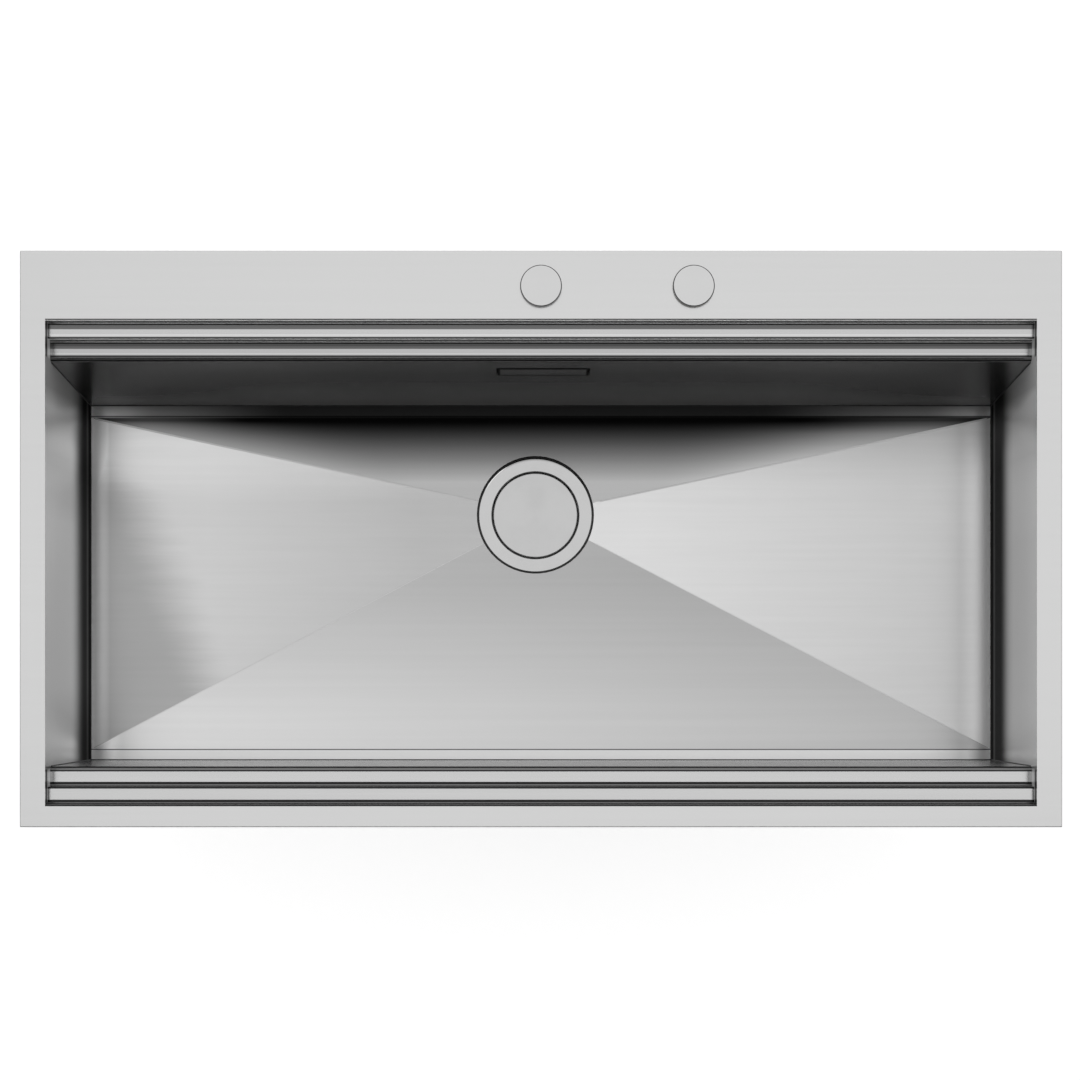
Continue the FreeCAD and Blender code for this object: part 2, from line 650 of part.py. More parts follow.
def cable_ferrules():
    """End sleeves of the sheath, one in the bracket and one under the button's housing."""
    lower = tube(FERRULE_RADIUS, SHEATH_BORE, V(CRANK_X, BRACKET_Y - 2, WIRE_Z), CABLE_START)
    collar = tube(5.0, FERRULE_RADIUS, V(CRANK_X, BRACKET_Y + 2.5, WIRE_Z), V(CRANK_X, BRACKET_Y + 4.5, WIRE_Z))
    upper = tube(FERRULE_RADIUS, SHEATH_BORE, CABLE_END, V(BUTTON_X, DISC_Y, HOUSING_BOTTOM + 6))
    return Part.makeCompound([lower.fuse(collar).removeSplitter(), upper])


def cable_route():
    """Points of the sheath, from the waste up behind the bowl to the button."""
    return [
        CABLE_START,
        V(CRANK_X, 128, WIRE_Z),
        V(66, 178, -270),
        V(97, 215, -236),
        V(126, 229, -186),
        V(BUTTON_X, DISC_Y, -134),
        CABLE_END,
    ]


def cable_sheath():
    points = cable_route()
    radii = []
    for index in range(1, len(points) - 1):
        back = points[index - 1].sub(points[index])
        ahead = points[index + 1].sub(points[index])
        turn = math.pi - back.getAngle(ahead)
        radii.append(0.45 * min(back.Length, ahead.Length) / math.tan(turn / 2))
    print("sheath bend radii", [round(radius, 1) for radius in radii])
    path = Part.Wire(rounded_edges(points, radii))
    circle = Part.Circle(points[0], V(0, 1, 0), SHEATH_RADIUS)
    sheath = path.makePipeShell([Part.Wire(circle.toShape())], True, False)
    expected = math.pi * SHEATH_RADIUS ** 2 * path.Length
    print("sheath length", round(path.Length, 1), "volume ratio", round(sheath.Volume / expected, 4))
    lower_bore = rod(SHEATH_BORE, CABLE_START, CABLE_START.add(V(0, 15.5, 0)))
    upper_bore = rod(SHEATH_BORE, CABLE_END, CABLE_END.add(V(0, 0, -20)))
    return sheath.cut(lower_bore).cut(upper_bore)


def wire_rest_y():
    """Where the wire's end bar lies while the crank is in its low position."""
    return SHAFT_Y - CONTROL_TRAVEL / 2


def control_wire():
    """Lower end of the wire, with the bar that lies in the crank's fork."""
    y = wire_rest_y()
    strand = rod(WIRE_RADIUS, V(CRANK_X, y, WIRE_Z), V(CRANK_X, CABLE_START.y + 8, WIRE_Z))
    bar = rod(2.4, V(CRANK_X - 3.6, y, WIRE_Z), V(CRANK_X + 3.6, y, WIRE_Z))
    return joined([strand, bar])


def wire_head():
    """Upper end of the wire, screwed to the button's stem."""
    strand = rod(WIRE_RADIUS, V(BUTTON_X, DISC_Y, CABLE_END.z - 12), V(BUTTON_X, DISC_Y, SLEEVE_BOTTOM - 10))
    clamp = rod(3.2, V(BUTTON_X, DISC_Y, SLEEVE_BOTTOM - 10), V(BUTTON_X, DISC_Y, SLEEVE_BOTTOM - 4))
    return joined([strand, clamp])


def disc(bottom, x):
    """A round metal cap with a bevelled upper edge."""
    return turned([
        (0, DISC_TOP),
        (DISC_RADIUS - 0.8, DISC_TOP),
        (DISC_RADIUS, DISC_TOP - 0.8),
        (DISC_RADIUS, bottom),
        (0, bottom),
    ], x, DISC_Y)


def push_button():
    piston = rod(PISTON_RADIUS, V(BUTTON_X, DISC_Y, PISTON_BOTTOM), V(BUTTON_X, DISC_Y, 6.0))
    return joined([disc(6.0, BUTTON_X), piston])


def button_stem():
    return rod(3.5, V(BUTTON_X, DISC_Y, SLEEVE_BOTTOM - 4), V(BUTTON_X, DISC_Y, PISTON_BOTTOM))


def button_spring():
    """Compression spring round the stem, as half turns of wire that each climb half a pitch."""
    low = SLEEVE_BOTTOM + 4.9
    high = PISTON_BOTTOM - 0.9
    radius = 7.2
    turns = 11
    climb = (high - low) / (2 * turns)
    edges = []
    for half in range(2 * turns):
        side = 1 if half % 2 == 0 else -1
        z = low + half * climb
        start = V(BUTTON_X + side * radius, DISC_Y, z)
        middle = V(BUTTON_X, DISC_Y + side * radius, z + climb / 2)
        end = V(BUTTON_X - side * radius, DISC_Y, z + climb)
        edges.append(Part.Arc(start, middle, end).toShape())
    path = Part.Wire(edges)
    circle = Part.Circle(V(BUTTON_X + radius, DISC_Y, low), V(0, 1, 0), 0.8)
    print("spring gap between turns", round(2 * climb - 1.6, 2))
    return path.makePipeShell([Part.Wire(circle.toShape())], True, False)


def control_sleeve():
    bore = PISTON_RADIUS + RUNNING
    return turned([
        (bore, 5.8),
        (18.2, 5.8),
        (18.2, 4.8),
        (SLEEVE_RADIUS, 4.8),
        (SLEEVE_RADIUS, SLEEVE_BOTTOM),
        (3.8, SLEEVE_BOTTOM),
        (3.8, SLEEVE_BOTTOM + 4),
        (bore, SLEEVE_BOTTOM + 4),
    ], BUTTON_X, DISC_Y)


def control_seal():
    return ring(17.8, SLEEVE_RADIUS + 0.4, RIM_TOP, 4.8, BUTTON_X, DISC_Y)


def control_washer():
    return ring(15.8, SLEEVE_RADIUS + 0.2, 1.4, RIM_TOP - SHEET, BUTTON_X, DISC_Y)


def control_nut():
    nut = hexagon(27.0, -6.0, 1.4, BUTTON_X, DISC_Y)
    return nut.cut(rod(SLEEVE_RADIUS + 0.1, V(BUTTON_X, DISC_Y, -7), V(BUTTON_X, DISC_Y, 3)))


def control_housing():
    """Plastic cap screwed on the lower end of the sleeve. The sheath ends in its neck."""
    inner = SLEEVE_RADIUS + 0.1
    return turned([
        (inner, -40),
        (14.5, -40),
        (14.5, HOUSING_BOTTOM + 4),
        (6.5, HOUSING_BOTTOM),
        (6.5, HOUSING_BOTTOM - 2),
        (FERRULE_RADIUS, HOUSING_BOTTOM - 2),
        (FERRULE_RADIUS, HOUSING_BOTTOM + 6),
        (8.0, HOUSING_BOTTOM + 6),
        (8.0, SLEEVE_BOTTOM),
        (inner, SLEEVE_BOTTOM),
    ], BUTTON_X, DISC_Y)


def tap_hole_cap():
    return disc(4.8, CAP_X)


def cap_seal():
    return ring(18.5, TAP_HOLE + 0.1, RIM_TOP, 4.8, CAP_X, DISC_Y)


def cap_stud():
    return rod(4.0, V(CAP_X, DISC_Y, -34), V(CAP_X, DISC_Y, 4.8))


def cap_bridge():
    """Bar across the tap hole that the cap's stud pulls against."""
    bar = block(CAP_X - 27, CAP_X + 27, DISC_Y - 7, DISC_Y + 7, -0.4, RIM_TOP - SHEET)
    return bar.cut(rod(4.2, V(CAP_X, DISC_Y, -2), V(CAP_X, DISC_Y, 4)))


def cap_wing_nut():
    hub = rod(6.5, V(CAP_X, DISC_Y, -8.4), V(CAP_X, DISC_Y, -0.4))
    wing = block(CAP_X + 5, CAP_X + 16, DISC_Y - 1.5, DISC_Y + 1.5, -14, -3)
    other = block(CAP_X - 16, CAP_X - 5, DISC_Y - 1.5, DISC_Y + 1.5, -14, -3)
    return joined([hub, wing, other]).cut(rod(4.1, V(CAP_X, DISC_Y, -10), V(CAP_X, DISC_Y, 1)))


def overflow_plate():
    """Bare plate that fills the overflow opening but for narrow gaps, on two studs."""
    half = OVERFLOW_WIDTH / 2 - 2.1
    tall = OVERFLOW_HEIGHT / 2 - 0.6
    plate = block(-half, half, -0.6, 0.9, -tall, tall)
    studs = []
    for x in (-30, 30):
        studs.append(rod(2.5, V(x, 0.9, 0), V(x, 9.0, 0)))
    return on_back_wall(joined([plate] + studs), OVERFLOW_X, OVERFLOW_DEPTH)


def overflow_gasket():
    gasket = block(-49, 49, SHEET, SHEET + 2, -19, 19)
    half = OVERFLOW_WIDTH / 2
    tall = OVERFLOW_HEIGHT / 2
    return on_back_wall(gasket.cut(block(-half, half, 0, 5, -tall, tall)), OVERFLOW_X, OVERFLOW_DEPTH)


def overflow_housing():
    """Hollow box behind the overflow opening, with a spigot down to the hose."""
    front = SHEET + 2
    flange = block(-49, 49, front, front + 3, -19, 19)
    box = block(-36, 36, front, 38, -16, 16)
    hollow = block(-33.5, 33.5, front - 1, 35.5, -13.5, 13.5)
    posts = []
    sockets = []
    for x in (-30, 30):
        posts.append(rod(4.5, V(x, 8, 0), V(x, 38, 0)))
        sockets.append(rod(2.6, V(x, 0, 0), V(x, 12, 0)))
    shell = joined([joined([flange, box]).cut(hollow)] + posts).cut(Part.makeCompound(sockets))
    shell = on_back_wall(shell, OVERFLOW_X, OVERFLOW_DEPTH)
    top = -66.0
    spigot = rod(SPIGOT_RADIUS, V(WASTE_X, SPIGOT_Y, SPIGOT_BOTTOM), V(WASTE_X, SPIGOT_Y, top))
    throat = block(WASTE_X - 12, WASTE_X + 12, SPIGOT_Y - 14, SPIGOT_Y + 11, -84, top)
    bore = rod(SPIGOT_BORE, V(WASTE_X, SPIGOT_Y, SPIGOT_BOTTOM - 1), V(WASTE_X, SPIGOT_Y, top - 3))
    inside = on_back_wall(hollow, OVERFLOW_X, OVERFLOW_DEPTH)
    neck = joined([spigot, throat]).cut(inside)
    return joined([shell, neck]).cut(bore)


def hose_place(distance):
    """Centre and direction of the hose at a distance along it, from the spigot down."""
    straight = SPIGOT_BOTTOM - (STUB_Z + HOSE_BEND)
    bend = math.pi / 2 * HOSE_BEND
    corner_y = SPIGOT_Y - HOSE_BEND
    corner_z = STUB_Z + HOSE_BEND
    if distance < straight:
        return V(WASTE_X, SPIGOT_Y, SPIGOT_BOTTOM - distance), V(0, 0, -1)
    if distance < straight + bend:
        turn = (distance - straight) / HOSE_BEND
        centre = V(WASTE_X, corner_y + HOSE_BEND * math.cos(turn), corner_z - HOSE_BEND * math.sin(turn))
        return centre, V(0, -math.sin(turn), -math.cos(turn))
    rest = distance - straight - bend
    return V(WASTE_X, corner_y - rest, STUB_Z), V(0, -1, 0)


def hose_length():
    straight = SPIGOT_BOTTOM - (STUB_Z + HOSE_BEND)
    return straight + math.pi / 2 * HOSE_BEND + (SPIGOT_Y - HOSE_BEND - STUB_Y)


def hose_circle(distance, radius):
    """A circle square to the hose, its first point always towards +X."""
    centre, along = hose_place(distance)
    circle = Part.Circle(centre, along, radius)
    circle.XAxis = V(1, 0, 0)
    return Part.Wire(circle.toShape())


def overflow_hose():
    """Ribbed hose with its bore: each rib climbs, runs level and falls again."""
    length = hose_length()
    ribs = int((length - 2 * CUFF_LENGTH) / RIB_PITCH)
    start = (length - ribs * RIB_PITCH) / 2
    print("hose length", round(length, 1), "ribs", ribs)
    circles = [hose_circle(0, SPIGOT_RADIUS)]
    circles.append(hose_circle(start - 0.4, SPIGOT_RADIUS))
    for rib in range(ribs):
        place = start + rib * RIB_PITCH
        circles.append(hose_circle(place, HOSE_ROOT))
        circles.append(hose_circle(place + 0.3 * RIB_PITCH, SPIGOT_RADIUS))
        circles.append(hose_circle(place + 0.6 * RIB_PITCH, SPIGOT_RADIUS))
        circles.append(hose_circle(place + 0.9 * RIB_PITCH, HOSE_ROOT))
    circles.append(hose_circle(length - start + 0.4, SPIGOT_RADIUS))
    circles.append(hose_circle(length, SPIGOT_RADIUS))
    outside = Part.makeLoft(circles, True, True)
    first = hose_place(0)[0]
    bend_start = V(WASTE_X, SPIGOT_Y, STUB_Z + HOSE_BEND)
    slant = HOSE_BEND * math.sqrt(0.5)
    bend_middle = V(WASTE_X, SPIGOT_Y - HOSE_BEND + slant, STUB_Z + HOSE_BEND - slant)
    bend_end = V(WASTE_X, SPIGOT_Y - HOSE_BEND, STUB_Z)
    last = V(WASTE_X, STUB_Y, STUB_Z)
    path = Part.Wire([
        Part.LineSegment(first, bend_start).toShape(),
        Part.Arc(bend_start, bend_middle, bend_end).toShape(),
        Part.LineSegment(bend_end, last).toShape(),
    ])
    bore = path.makePipeShell([hose_circle(0, SPIGOT_BORE)], True, False)
    return outside.cut(bore)


def union_nut(start, end):
    """Fluted ring that joins the hose to a spigot."""
    along = end.sub(start)
    body = rod(14.0, start, end)
    flutes = []
    for number in range(12):
        turn = 30.0 * number
        flute = rod(1.6, V(14.6, 0, -1), V(14.6, 0, along.Length + 1))
        flute.rotate(V(0, 0, 0), V(0, 0, 1), turn)
        flute.Placement = FreeCAD.Placement(start, FreeCAD.Rotation(V(0, 0, 1), along)).multiply(flute.Placement)
        flutes.append(flute)
    return body.cut(Part.makeCompound(flutes)).cut(rod(SPIGOT_RADIUS + 0.1, start, end))


def hose_nuts():
    upper = union_nut(V(WASTE_X, SPIGOT_Y, SPIGOT_BOTTOM - 12), V(WASTE_X, SPIGOT_Y, SPIGOT_BOTTOM + 10))
    lower = union_nut(V(WASTE_X, STUB_Y - 8, STUB_Z), V(WASTE_X, STUB_Y + 12, STUB_Z))
    return Part.makeCompound([upper, lower])


PARTS = {
    "deck_rim": deck_rim,
    "back_panel": back_panel,
    "front_panel": front_panel,
    "left_panel": lambda: side_panel(-OPENING_HALF, -OPENING_HALF - SHEET),
    "right_panel": lambda: side_panel(OPENING_HALF, OPENING_HALF + SHEET),
    "floor_panel": floor_panel,
    "rim_gasket": rim_gasket,
    "clip_brackets": clip_brackets,
    "worktop_clips": worktop_clips,
    "clip_screws": clip_screws,
    "deadening_pads": deadening_pads,
    "waste_flange": waste_flange,
    "flange_seal": flange_seal,
    "lower_gasket": lower_gasket,
    "ring_nut": ring_nut,
    "waste_body": waste_body,
    "body_seal": body_seal,
    "pin_guide": pin_guide,
    "plug_cover": plug_cover,
    "plug_stem": plug_stem,
    "strainer_basket": strainer_basket,
    "plug_seal": plug_seal,
    "lift_pin": lift_pin,
    "lever_shaft": lever_shaft,
    "outer_crank": outer_crank,
    "shaft_seal": shaft_seal,
    "shaft_gland": shaft_gland,
    "cable_bracket": cable_bracket,
    "cable_ferrules": cable_ferrules,
    "cable_sheath": cable_sheath,
    "control_wire": control_wire,
    "wire_head": wire_head,
    "push_button": push_button,
    "button_stem": button_stem,
    "button_spring": button_spring,
    "control_sleeve": control_sleeve,
    "control_seal": control_seal,
    "control_washer": control_washer,
    "control_nut": control_nut,
    "control_housing": control_housing,
    "tap_hole_cap": tap_hole_cap,
    "cap_seal": cap_seal,
    "cap_stud": cap_stud,
    "cap_bridge": cap_bridge,
    "cap_wing_nut": cap_wing_nut,
    "overflow_plate": overflow_plate,
    "overflow_gasket": overflow_gasket,
    "overflow_housing": overflow_housing,
    "overflow_hose": overflow_hose,
    "hose_nuts": hose_nuts,
}


def main():
    os.makedirs("parts", exist_ok=True)
    for name, build in PARTS.items():
        shape = build()
        if not shape.isValid() or shape.Volume <= 0:
            print("check", name, "valid", shape.isValid(), "volume", round(shape.Volume, 2))
        shape.exportStep("parts/" + name + ".step")
        print(name, "solids", len(shape.Solids), "volume", round(shape.Volume, 1))


main()
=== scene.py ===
"""Finish of an inset kitchen sink: brushed steel deck and bowl, seams, folds, threads, plastics and rubbers.

Metres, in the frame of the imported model. The origin is the middle of the rim on the worktop's plane, and +Y
points to the back ledge.
"""

import json
import math

import bpy
import numpy as np
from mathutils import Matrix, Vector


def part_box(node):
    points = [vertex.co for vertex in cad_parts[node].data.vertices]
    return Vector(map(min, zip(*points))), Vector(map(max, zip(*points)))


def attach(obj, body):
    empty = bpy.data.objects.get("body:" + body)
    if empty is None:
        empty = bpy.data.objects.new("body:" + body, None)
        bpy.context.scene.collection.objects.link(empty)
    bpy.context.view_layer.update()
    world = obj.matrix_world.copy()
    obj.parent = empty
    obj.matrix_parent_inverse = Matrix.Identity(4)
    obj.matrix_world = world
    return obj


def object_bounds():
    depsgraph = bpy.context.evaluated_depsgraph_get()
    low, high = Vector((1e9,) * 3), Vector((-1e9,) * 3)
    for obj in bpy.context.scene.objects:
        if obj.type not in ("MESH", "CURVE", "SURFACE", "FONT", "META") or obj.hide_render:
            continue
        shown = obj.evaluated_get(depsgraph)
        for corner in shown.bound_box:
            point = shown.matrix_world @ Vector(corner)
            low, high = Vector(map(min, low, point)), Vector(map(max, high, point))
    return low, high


bl_info = {
    "name": "Inset Kitchen Sink Finish",
    "version": (1, 0, 0),
    "blender": (4, 5, 0),
    "location": "View3D > Sidebar > Sink",
    "description": "Brushed steel, seams, threads, plastics and a plain studio for an inset kitchen sink",
    "category": "Object",
}

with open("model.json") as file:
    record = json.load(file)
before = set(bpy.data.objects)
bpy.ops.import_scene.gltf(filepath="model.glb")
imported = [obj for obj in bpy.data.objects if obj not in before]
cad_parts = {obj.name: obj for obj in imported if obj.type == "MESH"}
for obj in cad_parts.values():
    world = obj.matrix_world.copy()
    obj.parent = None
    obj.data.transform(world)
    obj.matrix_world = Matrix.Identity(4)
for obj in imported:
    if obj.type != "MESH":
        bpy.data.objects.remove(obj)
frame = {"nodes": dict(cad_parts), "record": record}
CAD_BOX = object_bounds()

MM = 0.001
UP = np.array((0.0, 0.0, 1.0))


def middle_of(corners):
    """Middle of a box seen from above, from its lowest and highest corners."""
    low, high = corners
    return (low.x + high.x) / 2, (low.y + high.y) / 2


# Places read from the frame
WASTE_X, WASTE_Y = middle_of(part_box("plug_cover"))
BUTTON_X, BUTTON_Y = middle_of(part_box("push_button"))
CAP_X, CAP_Y = middle_of(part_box("tap_hole_cap"))
PLATE_LOW, PLATE_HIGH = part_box("overflow_plate")
OUTLET_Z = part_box("waste_body")[0].z
END_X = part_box("right_panel")[0].x
BACK_EDGE_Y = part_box("back_panel")[1].y
FRONT_EDGE_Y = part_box("front_panel")[0].y

# The bowl: the foot and top of its walls, the folds of its floor and the recess for the waste
FLOOR_Z = -196 * MM
WALL_TOP = -20.7 * MM
FRONT_Y = -205.8 * MM
BACK_FOOT_Y = 146.3 * MM
BACK_TOP_Y = 163.3 * MM
BACK_BEND_Z = -16 * MM
FOLD_FRONT_Y = -195.3 * MM
FOLD_BACK_Y = 134 * MM
FOLD_LOW = np.array((-2.0, 39.2, -208.0)) * MM
FOLD_START = 4 * MM
RECESS_RADIUS = 58.4 * MM
RECESS_Z = -209.8 * MM

# The stepped ledges: the depth of one step, and how far before its nose the painted dark lines may set in
STEP_PITCH = 15.25 * MM
NOSE_LEAD = 1.5 * MM

# Shares of the steel's tone: the mill finish outside, the two discs, the waste's ring, the plug and the
# overflow's plate. The plate's share is painted shade, matching the painted shade of the wall round it.
MILL_TONE = 0.85
DISC_TONE = 0.88
RING_TONE = 0.82
PLUG_TONE = 0.785
PLATE_TONE = 0.52

# The studio: how much the floor's look is lifted to white, its size, and the camera's small offsets
FLOOR_LIFT = 0.74
FLOOR_RADIUS = 14.0
FLOOR_GAP = 0.5 * MM
CAMERA_X = -0.9 * MM
CAMERA_SHIFT = 0.1389


class SinkSteel(bpy.types.PropertyGroup):
    """Tones and gloss of the steel, as a user would change them."""

    rim_tone: bpy.props.FloatProperty(
        name="Rim Tone", description="How much light the deck's steel gives back",
        default=0.645, min=0.1, max=0.95)
    bowl_tone: bpy.props.FloatProperty(
        name="Bowl Tone", description="How much light the walls and ledges give back",
        default=0.64, min=0.1, max=0.95)
    floor_tone: bpy.props.FloatProperty(
        name="Floor Tone", description="How much light the floor of the bowl gives back",
        default=0.66, min=0.1, max=0.95)
    rim_roughness: bpy.props.FloatProperty(
        name="Rim Roughness", description="Satin of the deck",
        default=0.24, min=0.05, max=0.9, subtype="FACTOR")
    bowl_roughness: bpy.props.FloatProperty(
        name="Bowl Roughness", description="Satin of walls and ledges",
        default=0.26, min=0.05, max=0.9, subtype="FACTOR")
    floor_roughness: bpy.props.FloatProperty(
        name="Floor Roughness", description="Satin of the floor",
        default=0.30, min=0.05, max=0.9, subtype="FACTOR")
    line_pitch: bpy.props.FloatProperty(
        name="Brush Line Pitch", description="Width of one brushed line",
        default=0.8 * MM, min=0.1 * MM, max=5 * MM, unit="LENGTH", precision=5)
    line_length: bpy.props.FloatProperty(
        name="Brush Line Length", description="Length of one brushed line",
        default=160 * MM, min=5 * MM, max=1.0, unit="LENGTH", precision=4)


class SinkDetail(bpy.types.PropertyGroup):
    """Sizes of the seams and threads."""

    seam_radius: bpy.props.FloatProperty(
        name="Seam Radius", description="Rounding where two walls meet",
        default=0.9 * MM, min=0.2 * MM, max=6 * MM, unit="LENGTH", precision=5)
    fold_radius: bpy.props.FloatProperty(
        name="Fold Radius", description="Rounding of the floor's folds",
        default=14 * MM, min=1 * MM, max=40 * MM, unit="LENGTH", precision=5)
    thread_depth: bpy.props.FloatProperty(
        name="Thread Depth", description="Height of the ridges on the waste outlet",
        default=0.7 * MM, min=0.1 * MM, max=2 * MM, unit="LENGTH", precision=5)
    thread_pitch: bpy.props.FloatProperty(
        name="Thread Pitch", description="Distance between ridges on the waste outlet",
        default=2.3 * MM, min=0.5 * MM, max=5 * MM, unit="LENGTH", precision=5)


class SinkStudio(bpy.types.PropertyGroup):
    """Camera, floor and soft light."""

    camera_height: bpy.props.FloatProperty(
        name="Camera Height", description="Height of the camera over the worktop",
        default=1.974, unit="LENGTH")
    camera_y: bpy.props.FloatProperty(
        name="Camera Y", description="Place of the camera along the sink's depth",
        default=-0.1362, unit="LENGTH")
    lens: bpy.props.FloatProperty(
        name="Lens", description="Focal length in millimetres on a 36 mm sensor",
        default=72.86, min=20, max=200)
    floor_tone: bpy.props.FloatProperty(
        name="Floor Tone", description="Paleness of the studio floor", default=0.62, min=0.1, max=1.0)
    sky_strength: bpy.props.FloatProperty(
        name="Sky Strength", description="Strength of the soft light from above",
        default=1.0, min=0.1, max=3.0)


class Wiring:
    """Adds nodes to one node tree and joins them up. A value is a number or the socket of another node."""

    def __init__(self, tree):
        self.tree = tree

    def node(self, kind, inputs=None, **choices):
        made = self.tree.nodes.new(kind)
        for name, value in choices.items():
            setattr(made, name, value)
        for name, value in (inputs or {}).items():
            self.feed(made.inputs[name], value)
        return made

    def feed(self, socket, value):
        if isinstance(value, bpy.types.NodeSocket):
            self.tree.links.new(value, socket)
        else:
            socket.default_value = value

    def math(self, operation, first, second=0.5):
        return self.node("ShaderNodeMath", {0: first, 1: second}, operation=operation).outputs[0]

    def times(self, first, *others):
        """The product of all the values."""
        for value in others:
            first = self.math("MULTIPLY", first, value)
        return first

    def plus(self, first, *others):
        """The sum of all the values."""
        for value in others:
            first = self.math("ADD", first, value)
        return first

    def less(self, first, second):
        """The first value less the second."""
        return self.math("SUBTRACT", first, second)

    def larger(self, first, second):
        return self.math("MAXIMUM", first, second)

    def size(self, value):
        """The value without its sign."""
        return self.math("ABSOLUTE", value)

    def vector(self, operation, first, second=(0.0, 0.0, 0.0), scale=1.0):
        made = self.node("ShaderNodeVectorMath", {0: first, 1: second}, operation=operation)
        self.feed(made.inputs[3], scale)
        return made.outputs["Value" if operation in ("LENGTH", "DOT_PRODUCT") else "Vector"]

    def level(self, vector):
        """A vector without its height."""
        return self.vector("MULTIPLY", vector, (1.0, 1.0, 0.0))

    def ramp(self, value, start, end, first, last, kind="LINEAR"):
        """The first level up to the start, the last one from the end, and a straight line between."""
        inputs = {"Value": value, "From Min": start, "From Max": end, "To Min": first, "To Max": last}
        return self.node("ShaderNodeMapRange", inputs, interpolation_type=kind).outputs["Result"]

    def ease(self, value, start, end, first, last):
        """A ramp that sets in and runs out gently."""
        return self.ramp(value, start, end, first, last, "SMOOTHSTEP")

    def blend(self, part, first, second):
        """The first value where the part is 0 and the second where it is 1."""
        return self.plus(first, self.times(part, self.less(second, first)))

    def band(self, value, low, high, soft):
        """1 between low and high, with soft edges, and 0 outside."""
        half = soft / 2
        rise = self.ramp(value, low - half, low + half, 0.0, 1.0)
        return self.times(rise, self.ramp(value, high - half, high + half, 1.0, 0.0))

    def apart(self, vector):
        """X, Y and Z of a vector."""
        return self.node("ShaderNodeSeparateXYZ", {"Vector": vector}).outputs

    def noise(self, vector, scale, detail=3.0, roughness=0.55):
        inputs = {"Vector": vector, "Scale": scale, "Detail": detail, "Roughness": roughness}
        return self.node("ShaderNodeTexNoise", inputs).outputs["Fac"]

    def mix(self, part, first, second):
        """The first colour where the part is 0 and the second where it is 1."""
        made = self.node("ShaderNodeMix", data_type="RGBA")
        self.feed(made.inputs["Factor"], part)
        self.feed(made.inputs[6], first)
        self.feed(made.inputs[7], second)
        return made.outputs[2]

    def coordinate(self, name="Object"):
        return self.node("ShaderNodeTexCoord").outputs[name]

    def scaled(self, vector, scale):
        return self.node("ShaderNodeMapping", {"Vector": vector, "Scale": scale}).outputs["Vector"]

    def relief(self, shader, height, strength, distance):
        """Fine relief on a shader's surface, from a height."""
        bump = self.node("ShaderNodeBump", {"Height": height, "Strength": strength, "Distance": distance})
        self.feed(shader["Normal"], bump.outputs["Normal"])

    def group(self, name, **inputs):
        """The outputs of an effect's node group, given its inputs by name."""
        made = self.node("ShaderNodeGroup", node_tree=effect_group(name))
        for label, value in inputs.items():
            self.feed(made.inputs[titled(label)], value)
        return made.outputs


EFFECTS = {}


def titled(label):
    return label.replace("_", " ").title()


def effect(name, **inputs):
    """Keeps a function as the maker of the shader node group with this name and these inputs.

    The function gets the wiring and the inputs by name, and gives back the outputs by name.
    """
    def keep(make):
        EFFECTS[name] = (inputs, make)
        return make
    return keep


def effect_group(name):
    """The shader node group of an effect, made when it is first asked for."""
    if name not in bpy.data.node_groups:
        inputs, make = EFFECTS[name]
        tree = bpy.data.node_groups.new(name, "ShaderNodeTree")
        for label, kind in inputs.items():
            tree.interface.new_socket(titled(label), in_out="INPUT", socket_type="NodeSocket" + kind)
        wiring = Wiring(tree)
        given = wiring.node("NodeGroupInput").outputs
        outputs = make(wiring, **{label: given[titled(label)] for label in inputs})
        for label in outputs:
            tree.interface.new_socket(label, in_out="OUTPUT", socket_type="NodeSocketFloat")
        wanted = wiring.node("NodeGroupOutput").inputs
        for label, value in outputs.items():
            wiring.feed(wanted[label], value)
    return bpy.data.node_groups[name]


@effect("Brush Lines", vector="Vector", place="Vector")
def brush_lines(wiring, vector, place):
    """Fine parallel lines, wider streaks and a slow cloud. The vector comes in stretched along the lines."""
    fine = wiring.noise(vector, scale=1.0, detail=2.0, roughness=0.6)
    wide = wiring.noise(wiring.scaled(vector, (0.35, 0.16, 0.16)), scale=1.0, detail=2.0, roughness=0.5)
    return {
        "Lines": wiring.ramp(fine, 0.25, 0.75, 0.0, 1.0),
        "Streaks": wiring.ramp(wide, 0.3, 0.7, 0.0, 1.0),
        "Cloud": wiring.noise(place, scale=3.5, detail=2.0),
    }


@effect("Turning Marks", place="Vector", ring_pitch="Float")
def turning_marks(wiring, place, ring_pitch):
    """Rings round an axis, from the distance to it, with a slow cloud over them."""
    distance = wiring.vector("LENGTH", wiring.level(place))
    rings = wiring.math("DIVIDE", distance, ring_pitch)
    line = wiring.node("ShaderNodeCombineXYZ", {"X": rings, "Y": 0.3}).outputs[0]
    return {
        "Rings": wiring.noise(line, scale=1.0, detail=2.0, roughness=0.6),
        "Cloud": wiring.noise(place, scale=60.0, detail=2.0),
    }


@effect("Moulded Grain", place="Vector", grain_scale="Float")
def moulded_grain(wiring, place, grain_scale):
    """Eroded fine grain of a mould and slow flow marks."""
    slow = {"Vector": place, "Scale": 30.0, "Detail": 3.0, "Distortion": 1.4}
    return {
        "Grain": wiring.noise(place, grain_scale, detail=4.0, roughness=0.65),
        "Flow": wiring.node("ShaderNodeTexNoise", slow).outputs["Fac"],
    }


@effect("Handling Marks", place="Vector", mark_scale="Float")
def handling_marks(wiring, place, mark_scale):
    """Faint patches left by hands and cloths."""
    patches = wiring.noise(place, mark_scale, detail=5.0, roughness=0.6)
    return {"Marks": wiring.ease(patches, 0.52, 0.7, 0.0, 1.0)}


